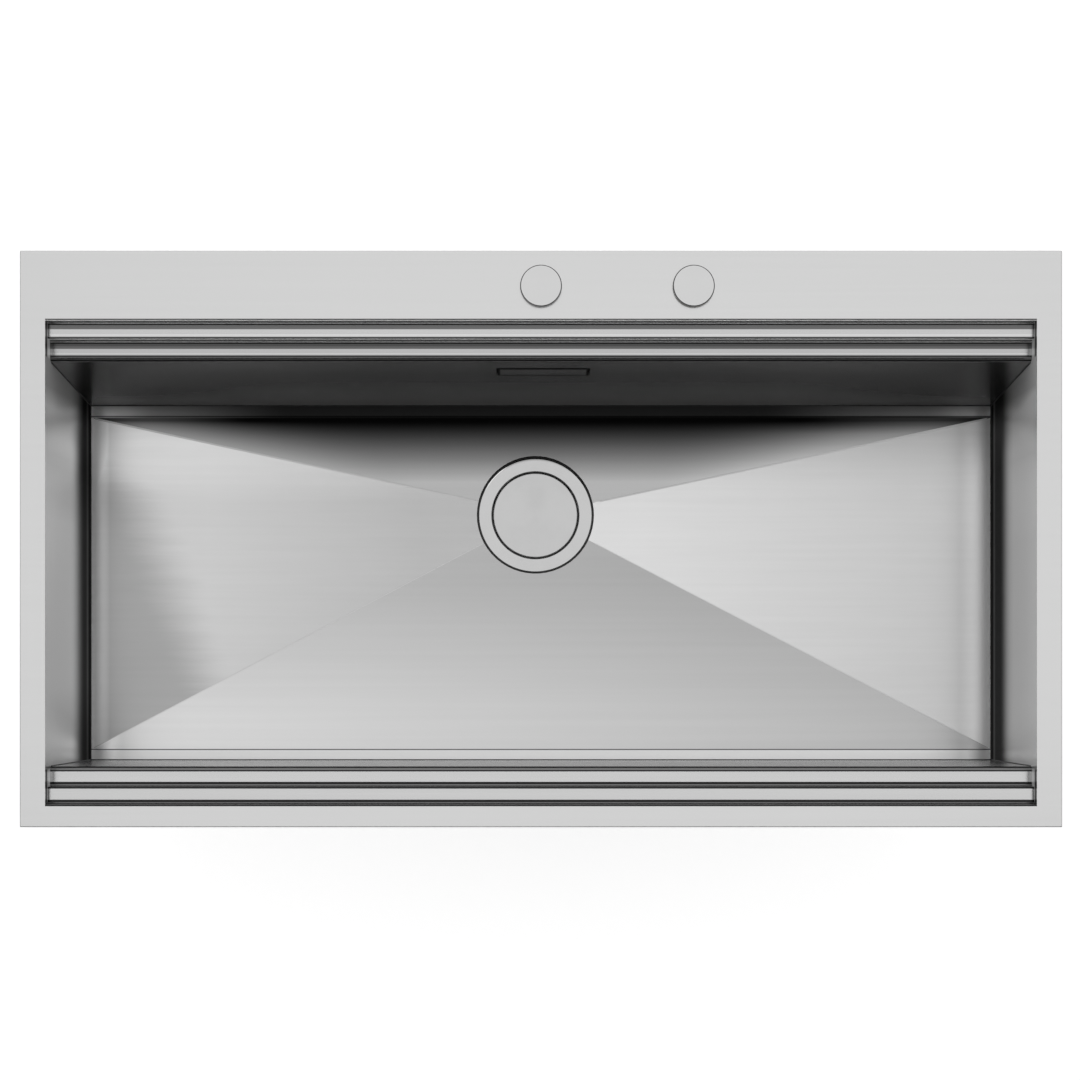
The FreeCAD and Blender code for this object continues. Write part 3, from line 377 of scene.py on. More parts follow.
@effect("Outer Face", place="Vector", slope="Vector")
def outer_face(wiring, place, slope):
    """1 on the outside of the bowl, where the sheet faces down or away from the middle, and 0 inside."""
    outward = wiring.vector("DOT_PRODUCT", wiring.level(place), slope)
    away = wiring.ramp(outward, 50 * MM, 80 * MM, 0.0, 1.0)
    down = wiring.ramp(wiring.apart(slope)["Z"], -0.3, -0.2, 1.0, 0.0)
    return {"Outside": wiring.larger(away, down)}


@effect("Deck Painted Shade", place="Vector")
def deck_painted_shade(wiring, place):
    """Painted shade on the deck: a little darker towards the back ledge."""
    return {"Tone": wiring.ramp(wiring.apart(place)["Y"], -250 * MM, 250 * MM, 1.0, 0.92)}


def left_facet(wiring, place, x, y):
    """Painted shade and light on the left facet: dark near the end wall, with an edge that slants over
    the floor and wavers along the brushed lines; painted lighter in a thin strip at the wall's foot and
    towards the back, and darker towards the waste.
    """
    waver = wiring.noise(wiring.scaled(place, (6.0, 90.0, 1.0)), scale=1.0, detail=3.0, roughness=0.6)
    waver = wiring.ramp(waver, 0.3, 0.7, -7 * MM, 7 * MM)
    retreat = wiring.ramp(y, 60 * MM, 130 * MM, 0.0, 85 * MM)
    slanted = wiring.plus(x, wiring.times(y, 0.37), waver, retreat)
    shade = wiring.ease(slanted, -415 * MM, -345 * MM, 0.62, 0.98)
    rim_light = wiring.ramp(x, -445 * MM, -428 * MM, 2.5, 1.0)
    back_light = wiring.ramp(y, 50 * MM, 110 * MM, 1.0, 1.3)
    towards_waste = wiring.ramp(x, -330 * MM, -120 * MM, 0.98, 0.79)
    return wiring.times(shade, rim_light, back_light, towards_waste)


def right_facet(wiring, x, y, lift):
    """Painted light and shade on the right facet: bright, painted darker towards the end wall and the back,
    and lighter again close to the end wall.
    """
    across = wiring.ramp(x, 100 * MM, 360 * MM, 1.12, 0.92)
    return wiring.times(across, lift, wiring.ramp(y, 70 * MM, 120 * MM, 1.0, 0.85))


def front_facet(wiring, x, y, lift):
    """Painted light and shade on the front facet: brightest at the left end, darker towards the right and
    the waste, and lighter close to the end walls.
    """
    across = wiring.ramp(x, -350 * MM, 350 * MM, 1.08, 0.76)
    return wiring.times(across, wiring.ramp(y, -190 * MM, -30 * MM, 1.0, 0.72), lift)


def back_facet(wiring, x, y, far):
    """Painted shade on the back facet: gain times the nearness to the floor's middle to a power. Both change
    with the distance sideways.

    The nearness falls from 1 to 0 towards the foot of the wall, where the painted shade is darkest and a
    least tone stays. Towards the right end it is painted darker still.
    """
    nearness = wiring.ramp(y, 71 * MM, 131 * MM, 1.0, 0.0)
    power = wiring.ease(far, 170 * MM, 420 * MM, 1.8, 0.75)
    gain = wiring.ease(far, 130 * MM, 330 * MM, 1.0, 2.15)
    least = wiring.ease(far, 270 * MM, 420 * MM, 0.003, 0.115)
    tone = wiring.plus(wiring.times(wiring.math("POWER", nearness, power), gain), least)
    right_end = wiring.ease(x, 250 * MM, 380 * MM, 1.0, 0.75)
    right_dip = wiring.ramp(x, 200 * MM, 280 * MM, 1.0, 0.6)
    tone = wiring.times(tone, right_end, wiring.ramp(y, 118 * MM, 127 * MM, 1.0, right_dip))
    return wiring.math("MINIMUM", tone, 1.2)


def back_strip(wiring, x, y, ends, far):
    """Painted shade on the strip between the long fold and the back wall: dark, and painted lighter towards
    its two ends, with a painted dark line along the fold.
    """
    near_ends = wiring.math("POWER", wiring.ramp(ends, 370 * MM, 445 * MM, 0.0, 1.0), 3.0)
    tone = wiring.plus(wiring.times(near_ends, 1.2), wiring.ease(far, 230 * MM, 400 * MM, 0.02, 0.14))
    by_fold = wiring.ramp(ends, 250 * MM, 420 * MM, 1.1, 1.7)
    across = wiring.ramp(y, 138 * MM, 146 * MM, by_fold, 0.8)
    right_end = wiring.ramp(x, 250 * MM, 340 * MM, 1.0, 0.72)
    fold_edge = wiring.ramp(x, -300 * MM, 300 * MM, 0.6, 0.2)
    fold_edge = wiring.ramp(y, FOLD_BACK_Y + 0.8 * MM, FOLD_BACK_Y + 1.0 * MM, fold_edge, 1.0)
    return wiring.times(tone, across, right_end, fold_edge)


@effect("Facet Painted Shading", place="Vector", slope="Vector")
def facet_painted_shading(wiring, place, slope):
    """Painted light and shade on the floor: how bright each facet is painted, from its slope and the place
    on it.

    The slope of the surface tells the four facets and the flat strips apart. Each facet has its own smooth
    ramps of painted light and shade over the place. The strip at the back and the upright wall of the
    waste's recess are painted dark, and so are the two long folds, as painted shade lines; the strip at the
    front is painted lighter. Close to the end walls the steel loses some of its mirror.
    """
    x, y, z = wiring.apart(place)
    slope_x, slope_y, slope_z = wiring.apart(slope)
    ends = wiring.size(x)
    far = wiring.size(wiring.plus(x, 16 * MM))
    # Painted light: the floor is painted lighter close to the end walls.
    lift = wiring.ease(ends, 414 * MM, 437 * MM, 1.0, 1.7)
    # Painted shade on the upright wall of the waste's recess, darker towards the back.
    recess_wall_shade = wiring.ramp(y, WASTE_Y, WASTE_Y + 50 * MM, 0.6, 0.1)
    strip = back_strip(wiring, x, y, ends, far)
    tone = 1.0
    for mask, value in (
        (wiring.ramp(slope_x, 0.012, 0.016, 0.0, 1.0), left_facet(wiring, place, x, y)),
        (wiring.ramp(slope_x, -0.016, -0.012, 1.0, 0.0), right_facet(wiring, x, y, lift)),
        (wiring.ramp(slope_y, 0.03, 0.04, 0.0, 1.0), front_facet(wiring, x, y, lift)),
        (wiring.ramp(slope_y, -0.07, -0.06, 1.0, 0.0), back_facet(wiring, x, y, far)),
        (wiring.ramp(y, FOLD_BACK_Y - 0.3 * MM, FOLD_BACK_Y - 0.1 * MM, 0.0, 1.0), strip),
        (wiring.ramp(y, FOLD_FRONT_Y - 0.3 * MM, FOLD_FRONT_Y, 1.0, 0.0), wiring.times(lift, 1.2)),
        (wiring.ramp(slope_z, 0.5, 0.8, 1.0, 0.0), recess_wall_shade),
        # The recess's bottom is painted near black, as painted shade.
        (wiring.ramp(z, RECESS_Z, RECESS_Z + 0.5 * MM, 1.0, 0.0), 0.05),
    ):
        tone = wiring.blend(mask, tone, value)
    # Painted shade lines along the two long folds.
    front_fold = wiring.band(y, FOLD_FRONT_Y - 0.5 * MM, FOLD_FRONT_Y + 0.6 * MM, 0.3 * MM)
    back_fold = wiring.band(y, FOLD_BACK_Y + 0.9 * MM, FOLD_BACK_Y + 1.9 * MM, 0.3 * MM)
    fold_shade = wiring.ramp(wiring.larger(front_fold, back_fold), 0.0, 1.0, 1.0, 0.2)
    return {"Tone": wiring.times(tone, fold_shade), "Metal": wiring.ramp(ends, 437 * MM, 447 * MM, 1.0, 0.4)}


@effect("Foot Painted Shading", place="Vector")
def foot_painted_shading(wiring, place):
    """Painted shade on the foot of an end wall, by the height over the floor, with a painted lighter line in
    it near the seam.

    The left and the right wall have their own heights and their own run of painted shade from front to
    back. The wall is painted darker just above the seam, lighter and then darker towards the back corner, and
    near black at its top beside the ledges. The steel loses some of its mirror towards the foot and the back
    corner, and beside the ledges.
    """
    x, y, z = wiring.apart(place)
    height = wiring.less(z, FLOOR_Z)
    side = wiring.ramp(x, -400 * MM, 400 * MM, 0.0, 1.0)
    # Painted shade at the foot, darkest towards the back.
    dark = wiring.ease(y, 108 * MM, 155 * MM, 0.10, 0.03)
    left = wiring.ease(height, 30 * MM, 96 * MM, dark, 1.4)
    right = wiring.ease(height, 52 * MM, 106 * MM, dark, 0.76)
    right = wiring.times(right, wiring.ramp(height, 95 * MM, 190 * MM, 1.0, 1.6))
    painted_light_line = wiring.times(wiring.band(height, 11 * MM, 19 * MM, 2 * MM), 0.11)
    tone = wiring.plus(wiring.blend(side, left, right), painted_light_line)
    # Painted shade just above the seam.
    seam = wiring.ramp(height, 8 * MM, 10 * MM, 0.45, 1.0)
    left_run = wiring.times(wiring.ramp(y, 20 * MM, 70 * MM, 1.1, 0.69),
                            wiring.ease(y, -190 * MM, -120 * MM, 0.55, 1.0))
    right_run = wiring.times(wiring.ramp(y, -190 * MM, -100 * MM, 1.0, 0.95),
                             wiring.ramp(y, 0.0, 70 * MM, 1.0, 1.15))
    corner = wiring.times(wiring.ramp(y, 80 * MM, 120 * MM, 1.0, 1.6),
                          wiring.ramp(y, 122 * MM, 140 * MM, 1.0, 0.55))
    tone = wiring.times(tone, seam, wiring.blend(side, left_run, right_run), corner)
    # Beside the ledges the wall is painted lighter below and near black at its top, as painted shade.
    ledges = wiring.larger(wiring.ramp(y, BACK_TOP_Y + 1 * MM, BACK_TOP_Y + 3 * MM, 0.0, 1.0),
                           wiring.ramp(y, FRONT_Y - 3 * MM, FRONT_Y - 1 * MM, 1.0, 0.0))
    tone = wiring.blend(ledges, tone, wiring.ramp(z, -7 * MM, -3 * MM, 1.2, 0.06))
    metal = wiring.times(wiring.ease(height, 42 * MM, 88 * MM, 0.0, 1.0),
                         wiring.ease(y, 85 * MM, 122 * MM, 1.0, 0.35))
    return {"Tone": wiring.math("MINIMUM", tone, 1.55), "Metal": wiring.blend(ledges, metal, 0.4)}


def step_lines(wiring, y, edge, inward, bands, tread, second, lag=0.0):
    """Painted lines along a stepped ledge: each band of a step has its own painted highlight or shade, and
    the rest is the tread's tone.

    The distance in from the ledge's edge repeats with every step. inward is 1 where the ledge runs to +Y
    and -1 where it runs to -Y. The lines of the second step start a little later, the last of them by the
    lag as well, and its tone is the given part of the first step's. A band is its start and end in
    millimetres from the top of the step's nose, and its tone.
    """
    distance = wiring.times(wiring.less(y, edge), inward)
    along = wiring.math("MODULO", wiring.plus(distance, NOSE_LEAD), STEP_PITCH)
    late = wiring.ramp(distance, 8 * MM, 18 * MM, 0.0, 0.5 * MM)
    longer = wiring.ramp(distance, 20 * MM, 22 * MM, 0.0, lag)
    caught_up = wiring.ramp(distance, 25 * MM, 30 * MM, 0.0, -0.2 * MM - lag)
    along = wiring.less(along, wiring.plus(late, longer, caught_up, NOSE_LEAD))
    tone = tread
    for start, end, value in bands.values():
        tone = wiring.blend(wiring.band(along, start * MM, end * MM, 0.5 * MM), tone, value)
    return distance, wiring.times(tone, wiring.ramp(distance, 15 * MM, 18 * MM, 1.0, second))


def back_wall(wiring, x, z):
    """Painted shade on the leaning wall: darker upwards and towards its ends, with a painted reflection of
    the end walls' dark edge in it.

    The gap round the overflow's plate and the bend at the top are painted dark lines, as painted shade.
    """
    far = wiring.size(x)
    end_shade = wiring.ramp(z, -190 * MM, -130 * MM, 0.75, 0.40)
    tone = wiring.times(wiring.ease(z, -190 * MM, -60 * MM, 1.5, 0.52),
                        wiring.ease(far, 220 * MM, 400 * MM, 1.0, end_shade))
    slanted = wiring.plus(far, wiring.times(wiring.plus(z, 47 * MM), 0.217))
    # Painted reflection of the end walls' dark edge, lighter at the wall's far ends.
    mirrored = wiring.blend(wiring.ease(slanted, 408 * MM, 418 * MM, 0.0, 1.0), 0.9,
                            wiring.ramp(z, -130 * MM, -47 * MM, 0.3, 0.5))
    mirrored = wiring.blend(wiring.ease(slanted, 427 * MM, 440 * MM, 0.0, 1.0), mirrored, 2.2)
    # Painted shade in the gap round the overflow's plate.
    gap = wiring.times(wiring.band(x, PLATE_LOW.x - 1 * MM, PLATE_HIGH.x + 1 * MM, 1 * MM),
                       wiring.band(z, PLATE_LOW.z - 2 * MM, PLATE_HIGH.z + 2 * MM, 1 * MM))
    tone = wiring.blend(gap, wiring.times(tone, mirrored), 0.06)
    # Painted shade line along the bend at the top.
    return wiring.blend(wiring.ramp(z, WALL_TOP - 2 * MM, WALL_TOP, 0.0, 1.0), tone, 0.25)


@effect("Back Ledge Painted Shading", place="Vector")
def back_ledge_painted_shading(wiring, place):
    """Painted highlights, shade and reflections on the back ledge over the leaning wall, with a second riser
    in painted shade and a last nose in two painted dark lines.
    """
    x, y, z = wiring.apart(place)
    # Painted bands of each step: highlights on the lip and the nose, shade at the seam, the nose's fall and
    # the root, and a painted reflection of the riser in the tread.
    bands = {"lip": (12.3, 13.6, 1.02), "seam": (-0.8, 0.6, 0.11), "nose": (0.6, 2.5, 1.5),
             "nose fall": (2.5, 3.0, 0.55), "root": (3.0, 4.1, 0.11), "mirrored riser": (4.1, 7.9, 0.22)}
    distance, tone = step_lines(
        wiring, y, BACK_EDGE_Y, inward=-1.0, bands=bands, tread=0.84, second=0.86, lag=0.5 * MM)
    # Painted shade on the second riser.
    second_riser_shade = wiring.band(distance, 17.5 * MM, 21.7 * MM, 1 * MM)
    tone = wiring.times(tone, wiring.ramp(second_riser_shade, 0.0, 1.0, 1.0, 0.6))
    # Painted shade lines round the last nose.
    dark_lines = wiring.larger(wiring.band(distance, 28.0 * MM, 31.4 * MM, 0.3 * MM),
                               wiring.band(distance, 33.7 * MM, 35.0 * MM, 0.4 * MM))
    last_nose = wiring.blend(dark_lines, wiring.ramp(distance, 31.2 * MM, 33.5 * MM, 0.25, 0.55), 0.03)
    tone = wiring.blend(wiring.ramp(distance, 30.2 * MM, 30.5 * MM, 0.0, 1.0), tone, last_nose)
    below = wiring.ramp(z, WALL_TOP, WALL_TOP + 0.5 * MM, 1.0, 0.0)
    wall = back_wall(wiring, x, z)
    return {"Tone": wiring.blend(below, tone, wall), "Metal": wiring.blend(below, 1.0, 0.7)}


@effect("Front Ledge Painted Shading", place="Vector")
def front_ledge_painted_shading(wiring, place):
    """Painted shade on the front ledge: two painted dark lines with grey between them on every step, and the
    wall under it painted a little darker towards the floor.
    """
    y, z = wiring.apart(place)[1:]
    # Painted shade bands of each step: dark lines at the nose and the root, grey on the riser.
    bands = {"nose": (-0.2, 1.6, 0.05), "riser": (1.6, 3.0, 0.25), "root": (3.0, 5.5, 0.035)}
    tone = step_lines(wiring, y, FRONT_EDGE_Y, inward=1.0, bands=bands, tread=0.98, second=1.0)[1]
    below = wiring.ramp(z, WALL_TOP, WALL_TOP + 0.5 * MM, 1.0, 0.0)
    wall = wiring.ramp(z, FLOOR_Z, WALL_TOP, 0.6, 0.7)
    return {"Tone": wiring.blend(below, tone, wall), "Metal": wiring.blend(below, 1.0, 0.85)}


@effect("Plate Painted Edge Shade", place="Vector")
def plate_painted_edge_shade(wiring, place):
    """The overflow's plate, with a painted shade line along its long edges and a narrower one at its two
    ends.
    """
    parts = wiring.apart(place)
    between_ends = wiring.band(parts["X"], PLATE_LOW.x + 1.4 * MM, PLATE_HIGH.x - 1.4 * MM, 0.6 * MM)
    between_edges = wiring.band(parts["Z"], PLATE_LOW.z + 2.6 * MM, PLATE_HIGH.z - 2.6 * MM, 2 * MM)
    return {"Tone": wiring.blend(wiring.times(between_ends, between_edges), 0.1, 1.0)}


@effect("Recess Painted Shadow And Glint", place="Vector")
def recess_painted_shadow_and_glint(wiring, place):
    """Painted shadow of the recess's wall on the waste at the back, and a painted glint, a bright arc, to the
    left of it.

    The place is taken from the waste's middle. The painted shadow grows where the distance to a point a
    little in front of the middle passes the flange's radius. The glint's arc is narrow in distance and in
    direction.
    """
    flat = wiring.level(place)
    moved = wiring.vector("LENGTH", wiring.vector("SUBTRACT", flat, (0.5 * MM, -3.0 * MM, 0.0)))
    shade = wiring.ramp(moved, 57.2 * MM, 59.6 * MM, 1.0, 0.3)
    heading = wiring.vector("DOT_PRODUCT", wiring.vector("NORMALIZE", flat), (-0.731, 0.682, 0.0))
    distance = wiring.vector("LENGTH", flat)
    rings = wiring.larger(wiring.band(distance, 55.4 * MM, 60 * MM, 0.6 * MM),
                          wiring.band(distance, 42.9 * MM, 43.9 * MM, 0.3 * MM))
    # Painted glint on the flange's outer edge and round its bore.
    arc = wiring.times(rings, wiring.ramp(heading, 0.95, 0.985, 0.0, 1.0))
    return {"Tone": wiring.blend(arc, shade, 1.8)}


@effect("Bevel Painted Shading", slope="Vector", edge="Float")
def bevel_painted_shading(wiring, slope, edge):
    """Painted shade on the bevel round a flat disc, or painted light where the edge's share is above 1: plain
    where the surface faces up or down; on the upright side it takes the bevel's share, but never below 0.4,
    so it is duller there where that share is below 1.
    """
    facing = wiring.size(wiring.apart(slope)["Z"])
    tone = wiring.blend(wiring.ramp(facing, 0.8, 0.95, 0.0, 1.0), edge, 1.0)
    upright = wiring.ramp(facing, 0.1, 0.2, 1.0, 0.0)
    return {"Tone": wiring.blend(upright, tone, wiring.larger(tone, 0.4))}


def new_material(name, metallic, **sockets):
    """A material with a Principled shader. Values that are the same all over go on its own sockets."""
    material = bpy.data.materials.new(name)
    material.use_nodes = True
    shader = material.node_tree.nodes["Principled BSDF"]
    shader.inputs["Metallic"].default_value = metallic
    for label, value in sockets.items():
        shader.inputs[label.replace("_", " ")].default_value = value
    return material, Wiring(material.node_tree), shader.inputs


def grey(value):
    return (value, value, value, 1.0)


def brushed_steel(name, tone, roughness, along="X", anisotropy=0.6, contrast=1.0, shade=None, metal=1.0):
    """Steel brushed in straight lines along X, Y or Z: its gloss spreads across the lines.

    contrast scales the lines. shade names an effect that paints shade and light on the steel by place, or is
    None; on the outside of the bowl the plain mill tone takes its place. metal is the share of mirror where
    the effect doesn't give it. The direction of the gloss is the surface's normal crossed with the lines,
    which are tilted a hair so that a face square to them has a direction too.
    """
    steel = bpy.context.scene.sink_steel
    material, wiring, shader = new_material(name, metal, Anisotropic=anisotropy, Specular_IOR_Level=0.0)
    place = wiring.coordinate()
    normal = wiring.coordinate("Normal")
    stretch = [1 / (steel.line_length if axis == along else steel.line_pitch) for axis in "XYZ"]
    lines = wiring.group("Brush Lines", vector=wiring.scaled(place, stretch), place=place)
    marks = wiring.group("Handling Marks", place=place, mark_scale=9.0)["Marks"]
    step = 0.03 * contrast
    tint = wiring.mix(lines["Streaks"], grey(tone * (1 - step)), grey(tone * (1 + step)))
    tint = wiring.mix(wiring.times(marks, 0.3 * contrast), tint, grey(tone * 0.97))
    outside = wiring.group("Outer Face", place=place, slope=normal)["Outside"]
    if shade:
        slope = {"slope": normal} if shade == "Facet Painted Shading" else {}
        shares = wiring.group(shade, place=place, **slope)
        # Painted shade and light from the effect inside, the plain mill tone outside.
        tint = wiring.vector("SCALE", tint, scale=wiring.blend(outside, shares["Tone"], MILL_TONE))
        if "Metal" in shares:
            wiring.feed(shader["Metallic"], wiring.larger(outside, shares["Metal"]))
    wiring.feed(shader["Base Color"], tint)
    gloss = wiring.ramp(lines["Lines"], 0.0, 1.0, roughness - step, roughness + step)
    cloud = wiring.ramp(lines["Cloud"], 0.3, 0.7, -0.01 * contrast, 0.01 * contrast)
    wiring.feed(shader["Roughness"], wiring.plus(gloss, cloud, wiring.times(outside, 0.1)))
    wiring.relief(shader, lines["Lines"], strength=0.03 * contrast, distance=0.02 * MM)
    direction = [1.0 if axis == along else 0.01 for axis in "XYZ"]
    wiring.feed(shader["Tangent"], wiring.vector("CROSS_PRODUCT", normal, direction))
    return material


def turned_steel(name, tone, roughness, centre, edge=0.08, sunk=False):
    """Steel turned on a lathe: faint rings round its middle, gloss spread towards it, and a bevelled edge
    with painted shade or light on it.

    edge is the bevel's share of the tone, as painted shade below 1 and painted light above 1, and sunk is
    True for a piece that gets the painted shadow of the floor's recess and its painted glint.
    """
    material, wiring, shader = new_material(name, 1.0, Anisotropic=0.4)
    place = wiring.vector("SUBTRACT", wiring.coordinate(), centre + (0.0,))
    marks = wiring.group("Turning Marks", place=place, ring_pitch=0.35 * MM)
    tint = wiring.mix(marks["Rings"], grey(tone * 0.99), grey(tone * 1.01))
    shade = wiring.group("Bevel Painted Shading", slope=wiring.coordinate("Normal"), edge=edge)["Tone"]
    if sunk:
        shade = wiring.times(shade, wiring.group("Recess Painted Shadow And Glint", place=place)["Tone"])
    wiring.feed(shader["Base Color"], wiring.vector("SCALE", tint, scale=shade))
    gloss = wiring.ramp(marks["Rings"], 0.25, 0.75, roughness - 0.015, roughness + 0.015)
    wiring.feed(shader["Roughness"], wiring.plus(gloss, wiring.ramp(marks["Cloud"], 0.3, 0.7, -0.02, 0.02)))
    wiring.relief(shader, marks["Rings"], strength=0.1, distance=0.02 * MM)
    wiring.feed(shader["Tangent"], wiring.level(place))
    return material


def plated_metal(name, low, high, roughness, grain=240.0):
    """Plain metal with a fine mottled plating and a few duller patches."""
    material, wiring, shader = new_material(name, 1.0)
    place = wiring.coordinate()
    grain_marks = wiring.group("Moulded Grain", place=place, grain_scale=grain)
    marks = wiring.group("Handling Marks", place=place, mark_scale=45.0)["Marks"]
    wiring.feed(shader["Base Color"], wiring.mix(grain_marks["Flow"], low, high))
    gloss = wiring.ramp(grain_marks["Grain"], 0.3, 0.7, roughness - 0.07, roughness + 0.07)
    wiring.feed(shader["Roughness"], wiring.plus(gloss, wiring.times(marks, 0.08)))
    wiring.relief(shader, grain_marks["Grain"], strength=0.12, distance=0.05 * MM)
    return material


def moulded_plastic(name, low, high, roughness, grain=900.0, relief=0.25, coat=0.0):
    """Injection-moulded plastic: fine grain, slow flow marks in colour and gloss."""
    material, wiring, shader = new_material(name, 0.0, Coat_Weight=coat, Coat_Roughness=0.15)
    place = wiring.coordinate()
    grain_marks = wiring.group("Moulded Grain", place=place, grain_scale=grain)
    marks = wiring.group("Handling Marks", place=place, mark_scale=40.0)["Marks"]
    tint = wiring.mix(grain_marks["Flow"], low, high)
    wiring.feed(shader["Base Color"], wiring.mix(wiring.times(marks, 0.3), tint, high))
    gloss = wiring.ramp(grain_marks["Flow"], 0.3, 0.7, roughness - 0.05, roughness + 0.05)
    wiring.feed(shader["Roughness"], wiring.plus(gloss, wiring.times(marks, -0.06)))
    wiring.relief(shader, grain_marks["Grain"], strength=relief, distance=0.1 * MM)
    return material


def soft_rubber(name, low, high, grain=500.0, relief=0.35):
    """Matt rubber with a bloom of dust in its pores."""
    return moulded_plastic(name, low, high, 0.78, grain, relief)


def finish_slot(slot, material):
    """Gives one material to every node that takes its finish from a slot of the record."""
    for part in frame["record"]["subparts"]:
        if part["material_slot"] == slot:
            dress(part["node"], material)


def dress(node, material):
    """Puts one material in every slot of a node."""
    slots = frame["nodes"][node].data.materials
    if not slots:
        slots.append(material)
    for index in range(len(slots)):
        slots[index] = material


def skin(points, wrap_rows=False, wrap_columns=False):
    """Vertices and faces of a surface given as a grid of points, rows by columns.

    Each face joins a point with its neighbours in the next row and the next column, and a wrapped direction
    joins its last line of points with its first.
    """
    rows, columns = points.shape[:2]
    row = np.arange(rows if wrap_rows else rows - 1)[:, None]
    column = np.arange(columns if wrap_columns else columns - 1)[None, :]
    next_row = (row + 1) % rows
    next_column = (column + 1) % columns
    corners = [row * columns + column, row * columns + next_column]
    corners += [next_row * columns + next_column, next_row * columns + column]
    faces = np.stack(np.broadcast_arrays(*corners), axis=-1).reshape(-1, 4)
    return points.reshape(-1, 3), faces.tolist()


def swept(path, side, up, profile):
    """A closed profile carried along a path, with both ends closed.

    Point (i, j) is path i plus the profile's first number j times side plus its second number j times up.
    """
    points = path[:, None, :] + profile[None, :, 0, None] * side + profile[None, :, 1, None] * up
    vertices, faces = skin(points, wrap_columns=True)
    count = len(profile)
    last = len(vertices) - count
    faces.append(list(range(count)))
    faces.append([last + index for index in reversed(range(count))])
    return vertices, faces


def volume_of(vertices, faces):
    """Signed volume inside a closed surface: a sixth of the sum of the triple products of its triangles."""
    triangles = []
    for face in faces:
        for index in range(1, len(face) - 1):
            triangles.append((face[0], face[index], face[index + 1]))
    corner = vertices[np.array(triangles)]
    return np.einsum("ij,ij->", corner[:, 0], np.cross(corner[:, 1], corner[:, 2])) / 6


def put(name, skins, material, body):
    """One object from closed surfaces, each turned to face outwards, riding on a body."""
    vertices = []
    faces = []
    for points, patches in skins:
        if volume_of(points, patches) < 0:
            patches = [patch[::-1] for patch in patches]
        faces += [[corner + len(vertices) for corner in patch] for patch in patches]
        vertices += points.tolist()
    mesh = bpy.data.meshes.new(name)
    mesh.from_pydata(vertices, [], faces)
    mesh.validate()
    mesh.shade_smooth()
    mesh.set_sharp_from_angle(angle=math.radians(40))
    mesh.materials.append(material)
    piece = bpy.data.objects.new(name, mesh)
    bpy.context.scene.collection.objects.link(piece)
    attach(piece, body)


def unit(vector):
    return np.array(vector, float) / np.linalg.norm(vector)


def corner_bead(start, end, first, second, radius, steps=7, depth=0.12 * MM):
    """A thin rounded filling along the line where two walls meet.

    The two directions point from the line into each wall. The bead's face is an arc of the given radius
    that touches both walls: with half angle h between them its centre is radius / sin(h) away on the
    bisector, and the arc runs through 180 degrees less the walls' angle. The bead's back lies behind the
    line by the depth.
    """
    first = unit(first)
    second = unit(second)
    half = math.acos(float(first @ second)) / 2
    swing = np.linspace(-1, 1, steps) * (math.pi / 2 - half)
    along_middle = radius / math.sin(half) - radius * np.cos(swing)
    profile = np.stack([radius * np.sin(swing), along_middle], axis=-1)
    profile = np.vstack([profile, [[0.0, -depth]]])
    return swept(np.array([start, end], float), unit(first - second), unit(first + second), profile)


def bowl_seams(radius):
    """Beads along the foot of the four walls and up the four corners of the bowl."""
    lean = np.array((0.0, BACK_TOP_Y - BACK_FOOT_Y, BACK_BEND_Z - FLOOR_Z))
    back_foot = [(side * END_X, BACK_FOOT_Y, FLOOR_Z) for side in (-1, 1)]
    front_foot = [(side * END_X, FRONT_Y, FLOOR_Z) for side in (-1, 1)]
    beads = [corner_bead(*back_foot, (0, -1, 0), lean, radius)]
    beads.append(corner_bead(*front_foot, (0, 1, 0), UP, radius))
    for side, back, front in zip((-1, 1), back_foot, front_foot):
        inward = (-side, 0, 0)
        beads.append(corner_bead(front, back, inward, UP, radius))
        top_front = (side * END_X, FRONT_Y, WALL_TOP)
        beads.append(corner_bead(front, top_front, inward, (0, 1, 0), radius))
        top_back = np.array(back) + lean * (WALL_TOP - FLOOR_Z) / lean[2]
        beads.append(corner_bead(back, top_back, inward, (0, -1, 0), radius))
    return beads


def fold_beads(radius):
    """Roundings along the four folds of the floor, from its corners to the edge of the waste's recess."""
    corners = [
        np.array((-END_X, FOLD_FRONT_Y, FLOOR_Z)),
        np.array((END_X, FOLD_FRONT_Y, FLOOR_Z)),
        np.array((END_X, FOLD_BACK_Y, FLOOR_Z)),
        np.array((-END_X, FOLD_BACK_Y, FLOOR_Z)),
    ]
    waste = np.array((WASTE_X, WASTE_Y, 0.0))
    reach = np.linalg.norm((FOLD_LOW - waste) * (1, 1, 0))
    beads = []
    for index, corner in enumerate(corners):
        before = corners[index - 1] - corner
        after = corners[(index + 1) % 4] - corner
        along = unit(FOLD_LOW - corner)
        start = corner + along * FOLD_START
        end = FOLD_LOW - along * (RECESS_RADIUS + reach)
        first = before - along * float(before @ along)
        second = after - along * float(after @ along)
        beads.append(corner_bead(start, end, first, second, radius))
    return beads


